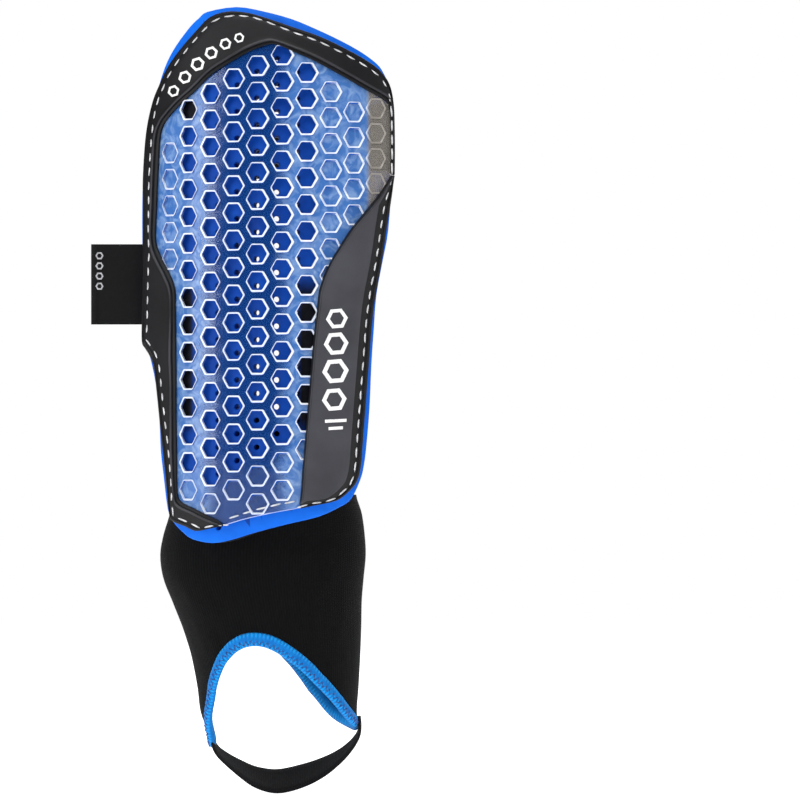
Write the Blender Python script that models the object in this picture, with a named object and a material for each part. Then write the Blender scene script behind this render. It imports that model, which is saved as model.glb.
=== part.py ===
"""Football shin guard for one leg, with its calf strap, ankle sleeve and stirrup.

The guard stands upright: +Z runs up the leg, the front faces -Y, and the origin is on the
inner face of the guard, on the ridge that lies along the shin bone. All design sizes are in
millimetres and become metres when a mesh is made.
"""
import math

import bmesh
import bpy
from mathutils import Vector

MM = 0.001
GAP = 0.3                       # clearance that touching pieces keep

# --- cross-section of the guard: two parabolas that meet on the ridge ----------------------
RIDGE_X = 3.0
LEFT_REACH, LEFT_DEPTH = 53.0, 31.0      # the left side wraps further round the leg
RIGHT_REACH, RIGHT_DEPTH = 52.0, 17.0
TOP_LEAN_START, TOP_LEAN_SPAN, TOP_LEAN = 30.0, 83.0, 13.0
TOE_LEAN_START, TOE_LEAN_SPAN, TOE_LEAN = -60.0, 53.0, 3.0

# --- layers, as heights above the inner face ------------------------------------------------
LINING = (0.0, 0.8)
SOFT_FOAM = (1.1, 4.1)
FIRM_FOAM = (4.4, 7.4)
CLEAR_SHELL = (7.7, 9.7)
OVERLAY = (10.0, 11.8)
THREAD_RADIUS = 0.4
THREAD_HEIGHT = OVERLAY[1] + GAP + THREAD_RADIUS
THREAD_HEIGHT_ON_SHELL = CLEAR_SHELL[1] + GAP + THREAD_RADIUS
CUT_STEP_X, CUT_STEP_Z = 8.5, 14.0       # facet size of the curved layers

# --- edges, as (x, z) seen from the front, each listed in clockwise order -------------------
LEFT_EDGE = [(-27.3, -107.5), (-32, -105.6), (-37, -103.6), (-38.4, -100.4), (-41.7, -69.3),
             (-43.7, -49.6), (-45.1, -38.4), (-48.7, -31.1), (-50.2, -28), (-49.8, 14.7),
             (-49.8, 42), (-48.5, 60), (-45.8, 72.7), (-39.2, 87.8), (-34, 95), (-27.3, 102.6)]
TOP_EDGE = [(-21.4, 108.4), (-14.3, 110.5), (-0.8, 108.4), (12.2, 103.9), (24.8, 99.5),
            (37.8, 93.2), (46.2, 88.2), (50.4, 84.2), (53.2, 79)]
RIGHT_BORDER = [(54.6, 70), (54.8, 48), (54.8, 41.2)]
PANEL_EDGE = [(54.4, 38.5), (51.7, 19), (49.9, 6.3), (47.2, -8.4), (45.4, -23), (44.3, -38),
              (42.9, -56), (41.7, -72), (40.9, -82), (39.1, -87), (35.9, -91), (31.9, -94.2),
              (27.7, -95.6), (16.2, -97.9)]
TOE_EDGE = [(-1.3, -101.2), (-15.8, -105.2)]
PANEL_INSIDE = [(16.2, -93.7), (17.8, -76), (19.2, -56), (20.8, -35.7), (22, -23), (23, -14.3),
                (24.2, -5.5), (26, 0.4), (29.8, 7.3), (36.5, 18.2), (45.4, 29), (51.6, 38.5)]
BORDER_INSIDE = [(53, 41.2), (53, 60), (53, 71.5)]
WINDOW_TOP = [(46.2, 76.4), (33.6, 83.4), (22.3, 89.5), (12, 94), (4.6, 96.6), (-5, 93.7),
              (-13.4, 89), (-21.4, 83.8), (-28, 77.3), (-34, 72.2), (-40, 66)]
WINDOW_LEFT = [(-42.2, 62), (-43.5, 56), (-44.3, 35), (-45, 12.4), (-37.4, -2.5),
               (-36.5, -5.5), (-36.1, -44), (-35.9, -73.5), (-35.7, -91.6), (-34, -95.2),
               (-28, -98.3), (-20.4, -102)]
FOAM_EDGE = [(-11.3, 113.2), (0, 111.3), (12.2, 108), (33.6, 98.7), (48.3, 89.5), (51, 86),
             (53.2, 81), (53.8, 74), (52.9, 72.8), (52.9, 42.6), (55, 41), (53.3, 19),
             (51, 6.3), (48.3, -8.4),
             (46.2, -37.8), (44.1, -71.8), (41.6, -86), (37.8, -94), (33.2, -97.4),
             (23.9, -101.6), (-3.4, -108.4), (-21.4, -112.8), (-29.8, -111.3), (-38, -104.2),
             (-40.5, -98.7), (-43.5, -74), (-45.8, -45.4), (-48.1, -35), (-50.6, -28),
             (-51.7, 14.7), (-51.6, 38), (-51.2, 42.2), (-49.1, 43), (-45.3, 72.6),
             (-46.4, 73.6), (-45.8, 75.5), (-40.9, 90.7), (-37.1, 97.4), (-27.3, 108.8),
             (-22.5, 111.8)]

# --- honeycomb of open cells through the clear shell ----------------------------------------
CELL_COLUMN_STEP = 10.39
CELL_ROW_STEP, CELL_ROW_SHRINK = 11.75, 0.0207    # rows close up as the shell leans back
CELL_FIRST_ROW_Z = -72.7
CELL_ACROSS_FLATS = 7.8
CELL_DROOP, CELL_DROOP_X = 0.0037, -10.0          # the rows sag a little to both sides
OPEN_COLUMNS = range(-4, 2)
TOE_CLOSED_Z, TOE_CLOSED_X, TOE_CLOSED_SLOPE, TOE_CLOSED_LOWEST = -78.6, -2.0, 0.57, -88.0

# --- perimeter stitching, as (x, z, height) -------------------------------------------------
STITCH_LINE = [(-26, 100), (-14.7, 107.6), (0, 105.4), (14.3, 100.8), (25.6, 95.8), (40.3, 88.2),
               (49.2, 82.6), (52.3, 78), (53.4, 66), (53.6, 42), (52.4, 32), (50, 15),
               (47.3, 1), (44, -14), (42, -38), (41, -56), (39.5, -76), (37.4, -84.4),
               (33.6, -88), (27.7, -90.3), (19.7, -92.2)]
STITCH_TOE = [(10, -94.4), (-1.7, -97.4), (-13.5, -100)]
STITCH_LEFT = [(-21, -101.4), (-27.3, -102.6), (-34.6, -101), (-37, -97), (-40, -69), (-42, -50),
               (-43.6, -38), (-47, -31), (-48.9, -26), (-48.6, 12), (-48.4, 42), (-47, 60),
               (-44.4, 72), (-38, 87)]

# --- calf strap: plan of its route behind the leg -------------------------------------------
STRAP_WIDTH, STRAP_THICK, STRAP_Z = 28.0, 1.6, 57.7
PATCH_THICK, PATCH_WIDTH = 1.0, 25.0
POCKET_X_RIGHT, POCKET_X_LEFT, POCKET_EDGE, POCKET_DEPTH = 44.5, -41.0, 0.4, 1.5
POCKET_Z = (STRAP_Z - STRAP_WIDTH / 2 - 0.9, STRAP_Z + STRAP_WIDTH / 2 + 0.9)
STRAP_SIDE_ROUTE = [(54.3, 9.6), (54.5, 20), (53.5, 34), (50.4, 48), (45.3, 60), (38.3, 70.5)]
STRAP_BACK_ROUTE = [(35.5, 74), (25, 81), (12, 85.5), (-1, 86.8), (-12, 85.3)]
LOOP_STRAP_ROUTE = [(-48.6, 21.5), (-48.9, 32), (-48.2, 41), (-45.5, 50.5), (-40.3, 59),
                    (-34.8, 65.6), (-27.8, 71.5), (-20.3, 75.8)]
FASTENED_FROM = 4                        # the closure starts at this point of the loop strap
EDGE_SLANT = 0.13                        # the left edge slants; the strap slants with it
SLANT_FROM_X, SLANT_FULL_X = 12.0, -48.0
SIDE_HINGE = (54.3, 9.6)
BACK_HINGE = (37.0, 72.4)
PULL_TAB_LENGTH, PULL_TAB_WIDTH, PULL_TAB_THICK = 9.0, 22.0, 2.2

# --- side tab, sewn in at the left edge -----------------------------------------------------
TAB_HINGE = (-52.1, 21.1)
TAB_REACH, TAB_LOW_Z, TAB_HIGH_Z, TAB_THICK = 20.7, -20.6, 13.4, 1.2

# --- ankle sleeve: a tapering tube with a saddle-shaped hem ---------------------------------
SLEEVE_Y = 37.0
SLEEVE_WALL = 1.8
SLEEVE_SECTIONS = [(-93, -39.5, 39.2, 32, 25), (-110, -43, 42.8, 30, 25),
                   (-119, -44.4, 43.3, 30, 25), (-128, -43.2, 42.5, 29.5, 25),
                   (-138, -39.5, 41.7, 29, 25), (-149, -35, 41.3, 28, 25),
                   (-161, -31.3, 41, 27.5, 25), (-175, -28.6, 40.4, 27, 25),
                   (-187, -27, 40, 26, 24), (-200, -23, 41.5, 24, 23)]
HEM_HEIGHTS = [(0, -187.5), (18, -184.5), (35, -178.5), (56, -168), (72, -159), (88, -152.3),
               (102, -150.6), (116, -153.2), (131, -160), (145, -171), (162, -187.5),
               (180, -195), (200, -184), (217, -165), (232, -154), (250, -148), (268, -151),
               (284, -162), (299, -174), (318, -184), (340, -187.5)]
SLEEVE_TOP_Z = -93.0
SLEEVE_SIDES, SLEEVE_ROWS = 40, 8
BINDING_RADIUS, BINDING_CLEARANCE, BINDING_SIDES = 2.0, 1.1, 7
ANKLE_CENTRE_X = 6.0                     # the binding hangs square to lines from this axis
SLEEVE_HINGE = (4.0, -93.0)              # y and z of the seam that the sleeve hangs from
PAD_RADIUS, PAD_THICK, PAD_Z, PAD_CLEARANCE = 25.0, 6.5, -127.0, 1.0
PAD_CROWN = 0.55                         # share of the radius that keeps the full thickness
PAD_RIM = (0.15, 0.6)                    # shares of the thickness between which the rim lies
PAD_SIDES = 20
PAD_WALL_RADIUS = 29.0                   # the sleeve's bend where the pads lie
YOKE_LEFT, YOKE_RIGHT, YOKE_LOW, YOKE_HIGH = -30.0, 33.0, -92.0, -58.0
YOKE = (-1.3, -0.3)                      # its layer, behind the lining

# --- stirrup: an elastic band under the foot ------------------------------------------------
STIRRUP_ROUTE = [(-21.5, -200.6), (-17, -205), (-10, -210), (-3, -213.7), (6, -215.2),
                 (17, -212.7), (26, -208.8), (33, -204), (38, -198.8), (41, -193.8)]
STIRRUP_WIDTH, STIRRUP_END_WIDTH, STIRRUP_THICK, STIRRUP_TILT = 20.0, 9.5, 1.8, 27.0
STIRRUP_LEFT, STIRRUP_RIGHT = (-21.5, -200.0), (41.0, -193.2)


def section_depth(x):
    """How far the inner face lies behind the ridge at x."""
    if x < RIDGE_X:
        return LEFT_DEPTH * ((x - RIDGE_X) / LEFT_REACH) ** 2
    return RIGHT_DEPTH * ((x - RIDGE_X) / RIGHT_REACH) ** 2


def lean_depth(z):
    """How far the guard leans back at height z."""
    top = max(0.0, (z - TOP_LEAN_START) / TOP_LEAN_SPAN)
    toe = max(0.0, (TOE_LEAN_START - z) / TOE_LEAN_SPAN)
    return TOP_LEAN * top ** 2 + TOE_LEAN * toe ** 2


def surface_y(x, z, height):
    """The y of a layer that lies this high above the inner face, measured square to it."""
    step = 0.05
    slope_x = (section_depth(x + step) - section_depth(x - step)) / (2 * step)
    slope_z = (lean_depth(z + step) - lean_depth(z - step)) / (2 * step)
    steepness = math.sqrt(1 + slope_x ** 2 + slope_z ** 2)
    return section_depth(x) + lean_depth(z) - height * steepness


def across(arc):
    """The x that lies this far from the ridge, measured along the curved section."""
    depth, reach = (LEFT_DEPTH, LEFT_REACH) if arc < 0 else (RIGHT_DEPTH, RIGHT_REACH)
    bend = 2 * depth / reach ** 2
    flat = abs(arc)
    for _ in range(8):
        flat = abs(arc) - bend ** 2 * flat ** 3 / 6
    return RIDGE_X + math.copysign(flat, arc)


def smooth(points, steps, closed=False):
    """A Catmull-Rom curve through the points, with this many steps between two of them."""
    rows = [Vector(p) for p in points]
    count = len(rows)
    spans = count if closed else count - 1
    curve = []
    for i in range(spans):
        if closed:
            a, b, c, d = (rows[(i + k) % count] for k in (-1, 0, 1, 2))
        else:
            a, b, c, d = (rows[min(max(i + k, 0), count - 1)] for k in (-1, 0, 1, 2))
        for s in range(steps):
            t = s / steps
            curve.append(0.5 * (2 * b + (c - a) * t + (2 * a - 5 * b + 4 * c - d) * t ** 2
                                + (3 * b - a - 3 * c + d) * t ** 3))
    if not closed:
        curve.append(rows[-1])
    return curve


def table_value(rows, key):
    """The values between two rows of a table whose first column is the key, eased at each row."""
    for low, high in zip(rows, rows[1:]):
        if min(low[0], high[0]) <= key <= max(low[0], high[0]):
            share = (key - low[0]) / (high[0] - low[0])
            share = share * share * (3 - 2 * share)
            return [a + (b - a) * share for a, b in zip(low[1:], high[1:])]
    nearest = min(rows, key=lambda row: abs(row[0] - key))
    return list(nearest[1:])


def inside_outline(x, z, outline):
    """True where the point lies inside the closed outline."""
    inside = False
    for (x0, z0), (x1, z1) in zip(outline, outline[1:] + outline[:1]):
        if (z0 > z) != (z1 > z) and x < x0 + (z - z0) * (x1 - x0) / (z1 - z0):
            inside = not inside
    return inside


def open_cells():
    """The centre (arc, z) of each cell that goes through the shell."""
    window = [(52.8, 41), *BORDER_INSIDE, *WINDOW_TOP, *WINDOW_LEFT, *TOE_EDGE[::-1], *PANEL_INSIDE]
    cells = []
    for column in OPEN_COLUMNS:
        arc = (column + 0.5) * CELL_COLUMN_STEP
        x = across(arc)
        for half_row in range(-3, 32):
            if (half_row + column) % 2 == 0:
                continue
            row = half_row / 2
            z = CELL_FIRST_ROW_Z + CELL_ROW_STEP * row - CELL_ROW_SHRINK * row * abs(row)
            z -= CELL_DROOP * (x - CELL_DROOP_X) ** 2 * min(1.0, (z + 120) / 208)
            toe = max(TOE_CLOSED_LOWEST, TOE_CLOSED_Z + TOE_CLOSED_SLOPE * (x - TOE_CLOSED_X))
            if z > toe and inside_outline(x, z, window):
                cells.append((arc, z))
    return cells


def cell_outline(arc, z):
    """The six corners of a cell, flat at the top and the bottom."""
    radius = CELL_ACROSS_FLATS / math.sqrt(3)
    turns = [math.radians(60 * k) for k in range(6)]
    return [(across(arc + radius * math.cos(t)), z + radius * math.sin(t)) for t in turns]


def make_material(name, colour, roughness, metallic=0.0, transmission=0.0):
    """A Principled BSDF of one colour."""
    material = bpy.data.materials.new(name)
    material.use_nodes = True
    shader = material.node_tree.nodes["Principled BSDF"]
    shader.inputs["Base Color"].default_value = (*colour, 1)
    shader.inputs["Roughness"].default_value = roughness
    shader.inputs["Metallic"].default_value = metallic
    shader.inputs["Transmission Weight"].default_value = transmission
    return material


def make_object(name, bm, material, axis=(0.0, 0.0, 0.0), smooth_angle=None):
    """Turn a bmesh in millimetres into an object whose origin lies on its joint's axis."""
    bmesh.ops.recalc_face_normals(bm, faces=bm.faces[:])
    for vert in bm.verts:
        vert.co = (vert.co - Vector(axis)) * MM
    mesh = bpy.data.meshes.new(name)
    bm.to_mesh(mesh)
    bm.free()
    mesh.materials.append(material)
    if smooth_angle:
        mesh.shade_smooth()
        mesh.set_sharp_from_angle(angle=math.radians(smooth_angle))
    thing = bpy.data.objects.new(name, mesh)
    thing.location = Vector(axis) * MM
    bpy.context.collection.objects.link(thing)
    return thing


def cut_by_planes(bm, places, axis):
    """Add edges where the planes at these places cross the sheet."""
    direction = Vector((1, 0, 0)) if axis == "x" else Vector((0, 0, 1))
    for place in places:
        geometry = bm.verts[:] + bm.edges[:] + bm.faces[:]
        bmesh.ops.bisect_plane(bm, geom=geometry, plane_co=direction * place,
                               plane_no=direction, dist=0.001)


def grid_places(low, high, step):
    """Whole multiples of the step between two limits."""
    first = math.ceil(low / step)
    return [step * k for k in range(first, int(high / step) + 1)]


def make_layer(name, outline, low, high, material, holes=(), dip=None, cuts_x=(), cuts_z=()):
    """A curved layer of the guard between two heights, with holes and an optional dip."""
    bm = bmesh.new()
    for loop in [outline, *holes]:
        verts = [bm.verts.new((x, 0, z)) for x, z in loop]
        for a, b in zip(verts, verts[1:] + verts[:1]):
            bm.edges.new((a, b))
    bmesh.ops.triangle_fill(bm, use_beauty=True, edges=bm.edges[:])
    xs = [v.co.x for v in bm.verts]
    zs = [v.co.z for v in bm.verts]
    cut_by_planes(bm, grid_places(min(xs), max(xs), CUT_STEP_X) + list(cuts_x), "x")
    cut_by_planes(bm, grid_places(min(zs), max(zs), CUT_STEP_Z) + list(cuts_z), "z")
    bmesh.ops.triangulate(bm, faces=bm.faces[:])
    back = bm.verts[:]
    made = bmesh.ops.extrude_face_region(bm, geom=bm.faces[:], use_keep_orig=True)
    front = [item for item in made["geom"] if isinstance(item, bmesh.types.BMVert)]
    for vert in back:
        vert.co.y = surface_y(vert.co.x, vert.co.z, low)
    for vert in front:
        lowered = dip(vert.co.x, vert.co.z) if dip else 0.0
        vert.co.y = surface_y(vert.co.x, vert.co.z, high - lowered)
    return make_object(name, bm, material, smooth_angle=40)


def strap_pocket(x, z):
    """How deep the firm foam is skived away where a strap's end is sewn in."""
    beside = x > POCKET_X_RIGHT + POCKET_EDGE / 2 or x < POCKET_X_LEFT - POCKET_EDGE / 2
    level = POCKET_Z[0] + POCKET_EDGE / 2 < z < POCKET_Z[1] - POCKET_EDGE / 2
    return POCKET_DEPTH if beside and level else 0.0


def ring_solid(rings, closed):
    """Join rings of points into one solid, closed on itself or capped at both ends."""
    bm = bmesh.new()
    loops = [[bm.verts.new(p) for p in ring] for ring in rings]
    pairs = list(zip(loops, loops[1:]))
    if closed:
        pairs.append((loops[-1], loops[0]))
    for first, second in pairs:
        for k in range(len(first)):
            n = (k + 1) % len(first)
            bm.faces.new((first[k], first[n], second[n], second[k]))
    if not closed:
        bm.faces.new(loops[0])
        bm.faces.new(loops[-1][::-1])
    return bm


def round_tube(path, radius, sides, closed, outward):
    """Rings of a round tube along a path; outward gives one direction square to it."""
    rings = []
    count = len(path)
    for i, point in enumerate(path):
        ahead = path[(i + 1) % count] if closed or i + 1 < count else point
        behind = path[i - 1] if closed or i else point
        along = (ahead - behind).normalized()
        side = along.cross(outward(point)).normalized()
        up = side.cross(along).normalized()
        turns = [2 * math.pi * k / sides for k in range(sides)]
        rings.append([point + radius * (math.cos(t) * side + math.sin(t) * up) for t in turns])
    return rings


def offset_route(route, distance):
    """Shift a plan route sideways, outwards from the leg for a positive distance."""
    shifted = []
    for i, point in enumerate(route):
        ahead = route[min(i + 1, len(route) - 1)]
        behind = route[max(i - 1, 0)]
        along = (ahead - behind).normalized()
        shifted.append(point + distance * Vector((-along.y, along.x)))
    return shifted


def strap_point(place, z):
    """A point of the strap, slanted and leaned to follow the guard's edge at height z."""
    share = (SLANT_FROM_X - place.x) / (SLANT_FROM_X - SLANT_FULL_X)
    slant = EDGE_SLANT * (z - STRAP_Z) * min(max(share, 0.0), 1.0)
    return (place.x + slant, place.y + lean_depth(z) - lean_depth(STRAP_Z), z)


def strap_band(name, route, width, thickness, material, axis=(0, 0)):
    """A band that stands on edge along a plan route and leans back with the guard."""
    low, high = STRAP_Z - width / 2, STRAP_Z + width / 2
    outer = offset_route(route, thickness / 2)
    inner = offset_route(route, -thickness / 2)
    rings = []
    for a, b in zip(outer, inner):
        ring = [strap_point(a, z) for z in (low, STRAP_Z, high)]
        ring += [strap_point(b, z) for z in (high, STRAP_Z, low)]
        rings.append(ring)
    return make_object(name, ring_solid(rings, False), material, (*axis, STRAP_Z), 40)


def sleeve_point(angle, z, inset=0.0):
    """A point on the sleeve: angle 0 is its right side, 90 the front and 180 the left."""
    left, right, front, back = table_value(SLEEVE_SECTIONS, z)
    reach = (right - left) / 2 - inset
    turn = math.radians(angle)
    depth = (front if math.sin(turn) > 0 else back) - inset
    return Vector(((left + right) / 2 + reach * math.cos(turn),
                   SLEEVE_Y - depth * math.sin(turn), z))


def hem_height(angle):
    """The height of the sleeve's hem, on a smooth curve round the ankle."""
    rows = [(a - 360, z) for a, z in HEM_HEIGHTS] + HEM_HEIGHTS + [(a + 360, z) for a, z in HEM_HEIGHTS]
    return table_value(rows, angle % 360)[0]


def build_guard():
    """The layered guard: foam, clear shell, overlay, side panel and their stitching."""
    clear = make_material("clear_polymer", (0.75, 0.85, 1.0), 0.1, transmission=0.9)
    black = make_material("black_overlay", (0.012, 0.012, 0.013), 0.4)
    grey = make_material("charcoal_panel", (0.05, 0.05, 0.055), 0.45)
    blue = make_material("blue_foam", (0.0, 0.12, 0.7), 0.6)
    pale = make_material("soft_foam", (0.0, 0.09, 0.5), 0.7)
    lining = make_material("black_lining", (0.01, 0.01, 0.012), 0.85)
    thread = make_material("grey_thread", (0.5, 0.5, 0.52), 0.6)

    foam = FOAM_EDGE
    shell = LEFT_EDGE + TOP_EDGE + RIGHT_BORDER + PANEL_EDGE + TOE_EDGE
    frame = LEFT_EDGE + TOP_EDGE + RIGHT_BORDER + BORDER_INSIDE + WINDOW_TOP + WINDOW_LEFT
    panel = PANEL_EDGE + PANEL_INSIDE
    cells = [cell_outline(arc, z) for arc, z in open_cells()]
    make_layer("lining", foam, *LINING, lining)
    make_layer("soft_foam", foam, *SOFT_FOAM, pale)
    pocket_x = (POCKET_X_LEFT, POCKET_X_LEFT - POCKET_EDGE, POCKET_X_RIGHT,
                POCKET_X_RIGHT + POCKET_EDGE)
    pocket_z = (POCKET_Z[0], POCKET_Z[0] + POCKET_EDGE, POCKET_Z[1] - POCKET_EDGE, POCKET_Z[1])
    make_layer("firm_foam", foam, *FIRM_FOAM, blue, dip=strap_pocket, cuts_x=pocket_x,
               cuts_z=pocket_z)
    make_layer("clear_shell", shell, *CLEAR_SHELL, clear, holes=cells)
    make_layer("overlay_frame", frame, *OVERLAY, black)
    make_layer("side_panel", panel, *OVERLAY, grey)

    line = [(x, z, THREAD_HEIGHT) for x, z in STITCH_LINE + [(15.2, -93.1)]]
    line += [(x, z, THREAD_HEIGHT_ON_SHELL) for x, z in STITCH_TOE]
    line += [(x, z, THREAD_HEIGHT) for x, z in STITCH_LEFT]
    path = [Vector((x, surface_y(x, z, height), z)) for x, z, height in line]
    rings = round_tube(smooth(path, 2, closed=True), THREAD_RADIUS, 5, True,
                       lambda point: Vector((0, -1, 0)))
    make_object("edge_stitching", ring_solid(rings, True), thread)


def build_calf_strap():
    """The elastic strap behind the calf, its sewn ends and its hook-and-loop closure."""
    elastic = make_material("black_elastic", (0.012, 0.012, 0.014), 0.8)
    pile = make_material("loop_pile", (0.02, 0.02, 0.022), 0.95)
    hooks = make_material("hook_tape", (0.015, 0.015, 0.016), 0.6)
    rubber = make_material("tab_rubber", (0.01, 0.01, 0.011), 0.5)

    low, high = STRAP_Z - STRAP_WIDTH / 2, STRAP_Z + STRAP_WIDTH / 2
    height = (FIRM_FOAM[1] - POCKET_DEPTH + GAP, FIRM_FOAM[1])
    inner_right = POCKET_X_RIGHT + POCKET_EDGE + GAP
    right = [(inner_right, low), (inner_right, high), (52.6, high), (52.6, low)]
    inner_left = POCKET_X_LEFT - POCKET_EDGE - GAP
    left = [(inner_left, low), (-48.6, low), (-45.0, high), (inner_left, high)]
    make_layer("strap_anchor_right", right, *height, elastic)
    make_layer("strap_anchor_left", left, *height, elastic)

    loop = [Vector(p) for p in smooth(LOOP_STRAP_ROUTE, 2)]
    fastened = loop[2 * FASTENED_FROM:]
    pile_place = STRAP_THICK / 2 + GAP + PATCH_THICK / 2
    hook_place = pile_place + PATCH_THICK + GAP
    strap_place = hook_place + PATCH_THICK / 2 + GAP + STRAP_THICK / 2
    strap_band("loop_strap", loop, STRAP_WIDTH, STRAP_THICK, elastic)
    strap_band("loop_patch", offset_route(fastened, pile_place), PATCH_WIDTH, PATCH_THICK, pile)
    strap_band("hook_patch", offset_route(fastened, hook_place), PATCH_WIDTH, PATCH_THICK, hooks,
               BACK_HINGE)
    end = [tuple(p) for p in offset_route(fastened[::2], strap_place)[::-1]]
    back = smooth(STRAP_BACK_ROUTE + end, 2)
    strap_band("strap_side", smooth(STRAP_SIDE_ROUTE, 2), STRAP_WIDTH, STRAP_THICK, elastic,
               SIDE_HINGE)
    strap_band("strap_back", back, STRAP_WIDTH, STRAP_THICK, elastic, BACK_HINGE)
    last, before = back[-1], back[-2]
    along = (last - before).normalized()
    tab = [last + along * (GAP + PULL_TAB_LENGTH * k / 3) for k in range(4)]
    strap_band("pull_tab", tab, PULL_TAB_WIDTH, PULL_TAB_THICK, rubber, BACK_HINGE)


def build_side_tab():
    """A woven label folded double and sewn into the left edge."""
    woven = make_material("woven_tab", (0.01, 0.01, 0.012), 0.7)
    x, y = TAB_HINGE
    near, far = x - GAP, x - TAB_REACH
    low, high, half = TAB_LOW_Z, TAB_HIGH_Z, TAB_THICK / 2
    rings = []
    for place in (near, (near + far) / 2, far):
        rings.append([(place, y - half, low), (place, y + half, low), (place, y + half, high),
                      (place, y - half, high)])
    make_object("side_tab", ring_solid(rings, False), woven, (x, y, (low + high) / 2))


def ankle_pad(middle):
    """A round pad inside the sleeve at this angle, thick in the middle and thin at its rim."""
    outside = SLEEVE_WALL + PAD_CLEARANCE
    bm = bmesh.new()
    rims = []
    for face_inset, rim_share in ((outside, PAD_RIM[0]), (outside + PAD_THICK, PAD_RIM[1])):
        centre = bm.verts.new(sleeve_point(middle, PAD_Z, face_inset))
        loops = []
        for radius, inset in ((PAD_RADIUS * PAD_CROWN, face_inset),
                              (PAD_RADIUS, outside + PAD_THICK * rim_share)):
            loop = []
            for k in range(PAD_SIDES):
                turn = 2 * math.pi * k / PAD_SIDES
                swing = math.degrees(radius * math.cos(turn) / PAD_WALL_RADIUS)
                height = PAD_Z + radius * math.sin(turn)
                loop.append(bm.verts.new(sleeve_point(middle + swing, height, inset)))
            loops.append(loop)
        rims.append(loops[1])
        for k in range(PAD_SIDES):
            n = (k + 1) % PAD_SIDES
            bm.faces.new((centre, loops[0][k], loops[0][n]))
            bm.faces.new((loops[0][k], loops[1][k], loops[1][n], loops[0][n]))
    for k in range(PAD_SIDES):
        n = (k + 1) % PAD_SIDES
        bm.faces.new((rims[0][k], rims[1][k], rims[1][n], rims[0][n]))
    return bm


def build_ankle_sleeve():
    """The knitted sleeve, its bound hem, the ankle pads and the yoke that is sewn to the guard."""
    knit = make_material("black_knit", (0.008, 0.008, 0.009), 0.9)
    azure = make_material("azure_binding", (0.006, 0.3, 0.8), 0.7)
    felt = make_material("ankle_foam", (0.02, 0.02, 0.022), 0.85)
    axis = (0.0, *SLEEVE_HINGE)

    angles = [360 * k / SLEEVE_SIDES for k in range(SLEEVE_SIDES)]
    rings = []
    for angle in angles:
        drop = hem_height(angle) - SLEEVE_TOP_Z
        heights = [SLEEVE_TOP_Z + drop * r / SLEEVE_ROWS for r in range(SLEEVE_ROWS + 1)]
        outside = [sleeve_point(angle, z) for z in heights]
        inside = [sleeve_point(angle, z, SLEEVE_WALL) for z in heights]
        rings.append(outside + inside[::-1])
    make_object("ankle_sleeve", ring_solid(rings, True), knit, axis, 50)

    hem = [sleeve_point(a, hem_height(a), SLEEVE_WALL / 2) for a in angles]
    path = []
    for i, point in enumerate(hem):
        along = (hem[(i + 1) % len(hem)] - hem[i - 1]).normalized()
        radial = Vector((point.x - ANKLE_CENTRE_X, point.y - SLEEVE_Y, 0)).normalized()
        below = radial.cross(along).normalized()
        if below.z > 0:
            below = -below
        path.append(point + below * (BINDING_RADIUS + BINDING_CLEARANCE))
    rings = round_tube(path, BINDING_RADIUS, BINDING_SIDES, True, lambda point: Vector((0, 0, 1)))
    make_object("hem_binding", ring_solid(rings, True), azure, axis, 60)
    make_object("ankle_pad_left", ankle_pad(180), felt, axis, 40)
    make_object("ankle_pad_right", ankle_pad(0), felt, axis, 40)
    strip = [(YOKE_LEFT, YOKE_LOW), (YOKE_LEFT, YOKE_HIGH), (YOKE_RIGHT, YOKE_HIGH),
             (YOKE_RIGHT, YOKE_LOW)]
    make_layer("sleeve_yoke", strip, *YOKE, knit)


def build_stirrup():
    """The elastic band under the foot, which hangs from the sleeve's two low points."""
    elastic = make_material("stirrup_elastic", (0.01, 0.01, 0.011), 0.8)
    route = smooth(STIRRUP_ROUTE, 2)
    rings = []
    for i, point in enumerate(route):
        along = route[min(i + 1, len(route) - 1)] - route[max(i - 1, 0)]
        along = Vector((along.x, 0, along.y)).normalized()
        share = math.sin(math.pi * i / (len(route) - 1))
        width = STIRRUP_END_WIDTH + (STIRRUP_WIDTH - STIRRUP_END_WIDTH) * share ** 0.6
        tilt = math.radians(STIRRUP_TILT) * share
        across_band = Vector((0, 1, 0)) * math.cos(tilt) + Vector((0, 0, 1)) * math.sin(tilt)
        normal = along.cross(across_band).normalized()
        middle = Vector((point.x, SLEEVE_Y, point.y))
        half, thin = across_band * width / 2, normal * STIRRUP_THICK / 2
        rings.append([middle - half - thin, middle + half - thin, middle + half + thin,
                      middle - half + thin])
    centre_z = (STIRRUP_LEFT[1] + STIRRUP_RIGHT[1]) / 2
    centre_x = (STIRRUP_LEFT[0] + STIRRUP_RIGHT[0]) / 2
    make_object("stirrup", ring_solid(rings, False), elastic, (centre_x, SLEEVE_Y, centre_z), 50)


def main():
    for thing in list(bpy.data.objects):
        bpy.data.objects.remove(thing, do_unlink=True)
    build_guard()
    build_calf_strap()
    build_side_tab()
    build_ankle_sleeve()
    build_stirrup()


main()
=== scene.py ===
# %% [markdown]
# # A football shin guard, piece by piece
#
# The object is one shin guard of a mirrored pair: a clear honeycomb shell over perforated blue
# foam, a black moulded overlay sewn round the edge, an elastic calf strap, and a knitted ankle
# sleeve with an azure hem and a stirrup. The CAD frame already holds every part at its true size and place.
# This script makes the surfaces that the eye sees, in metres, in that same frame.

# %% Load the frame
import math
import random

import bmesh
import bpy
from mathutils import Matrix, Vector
from mathutils import noise as soft_noise


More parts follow.
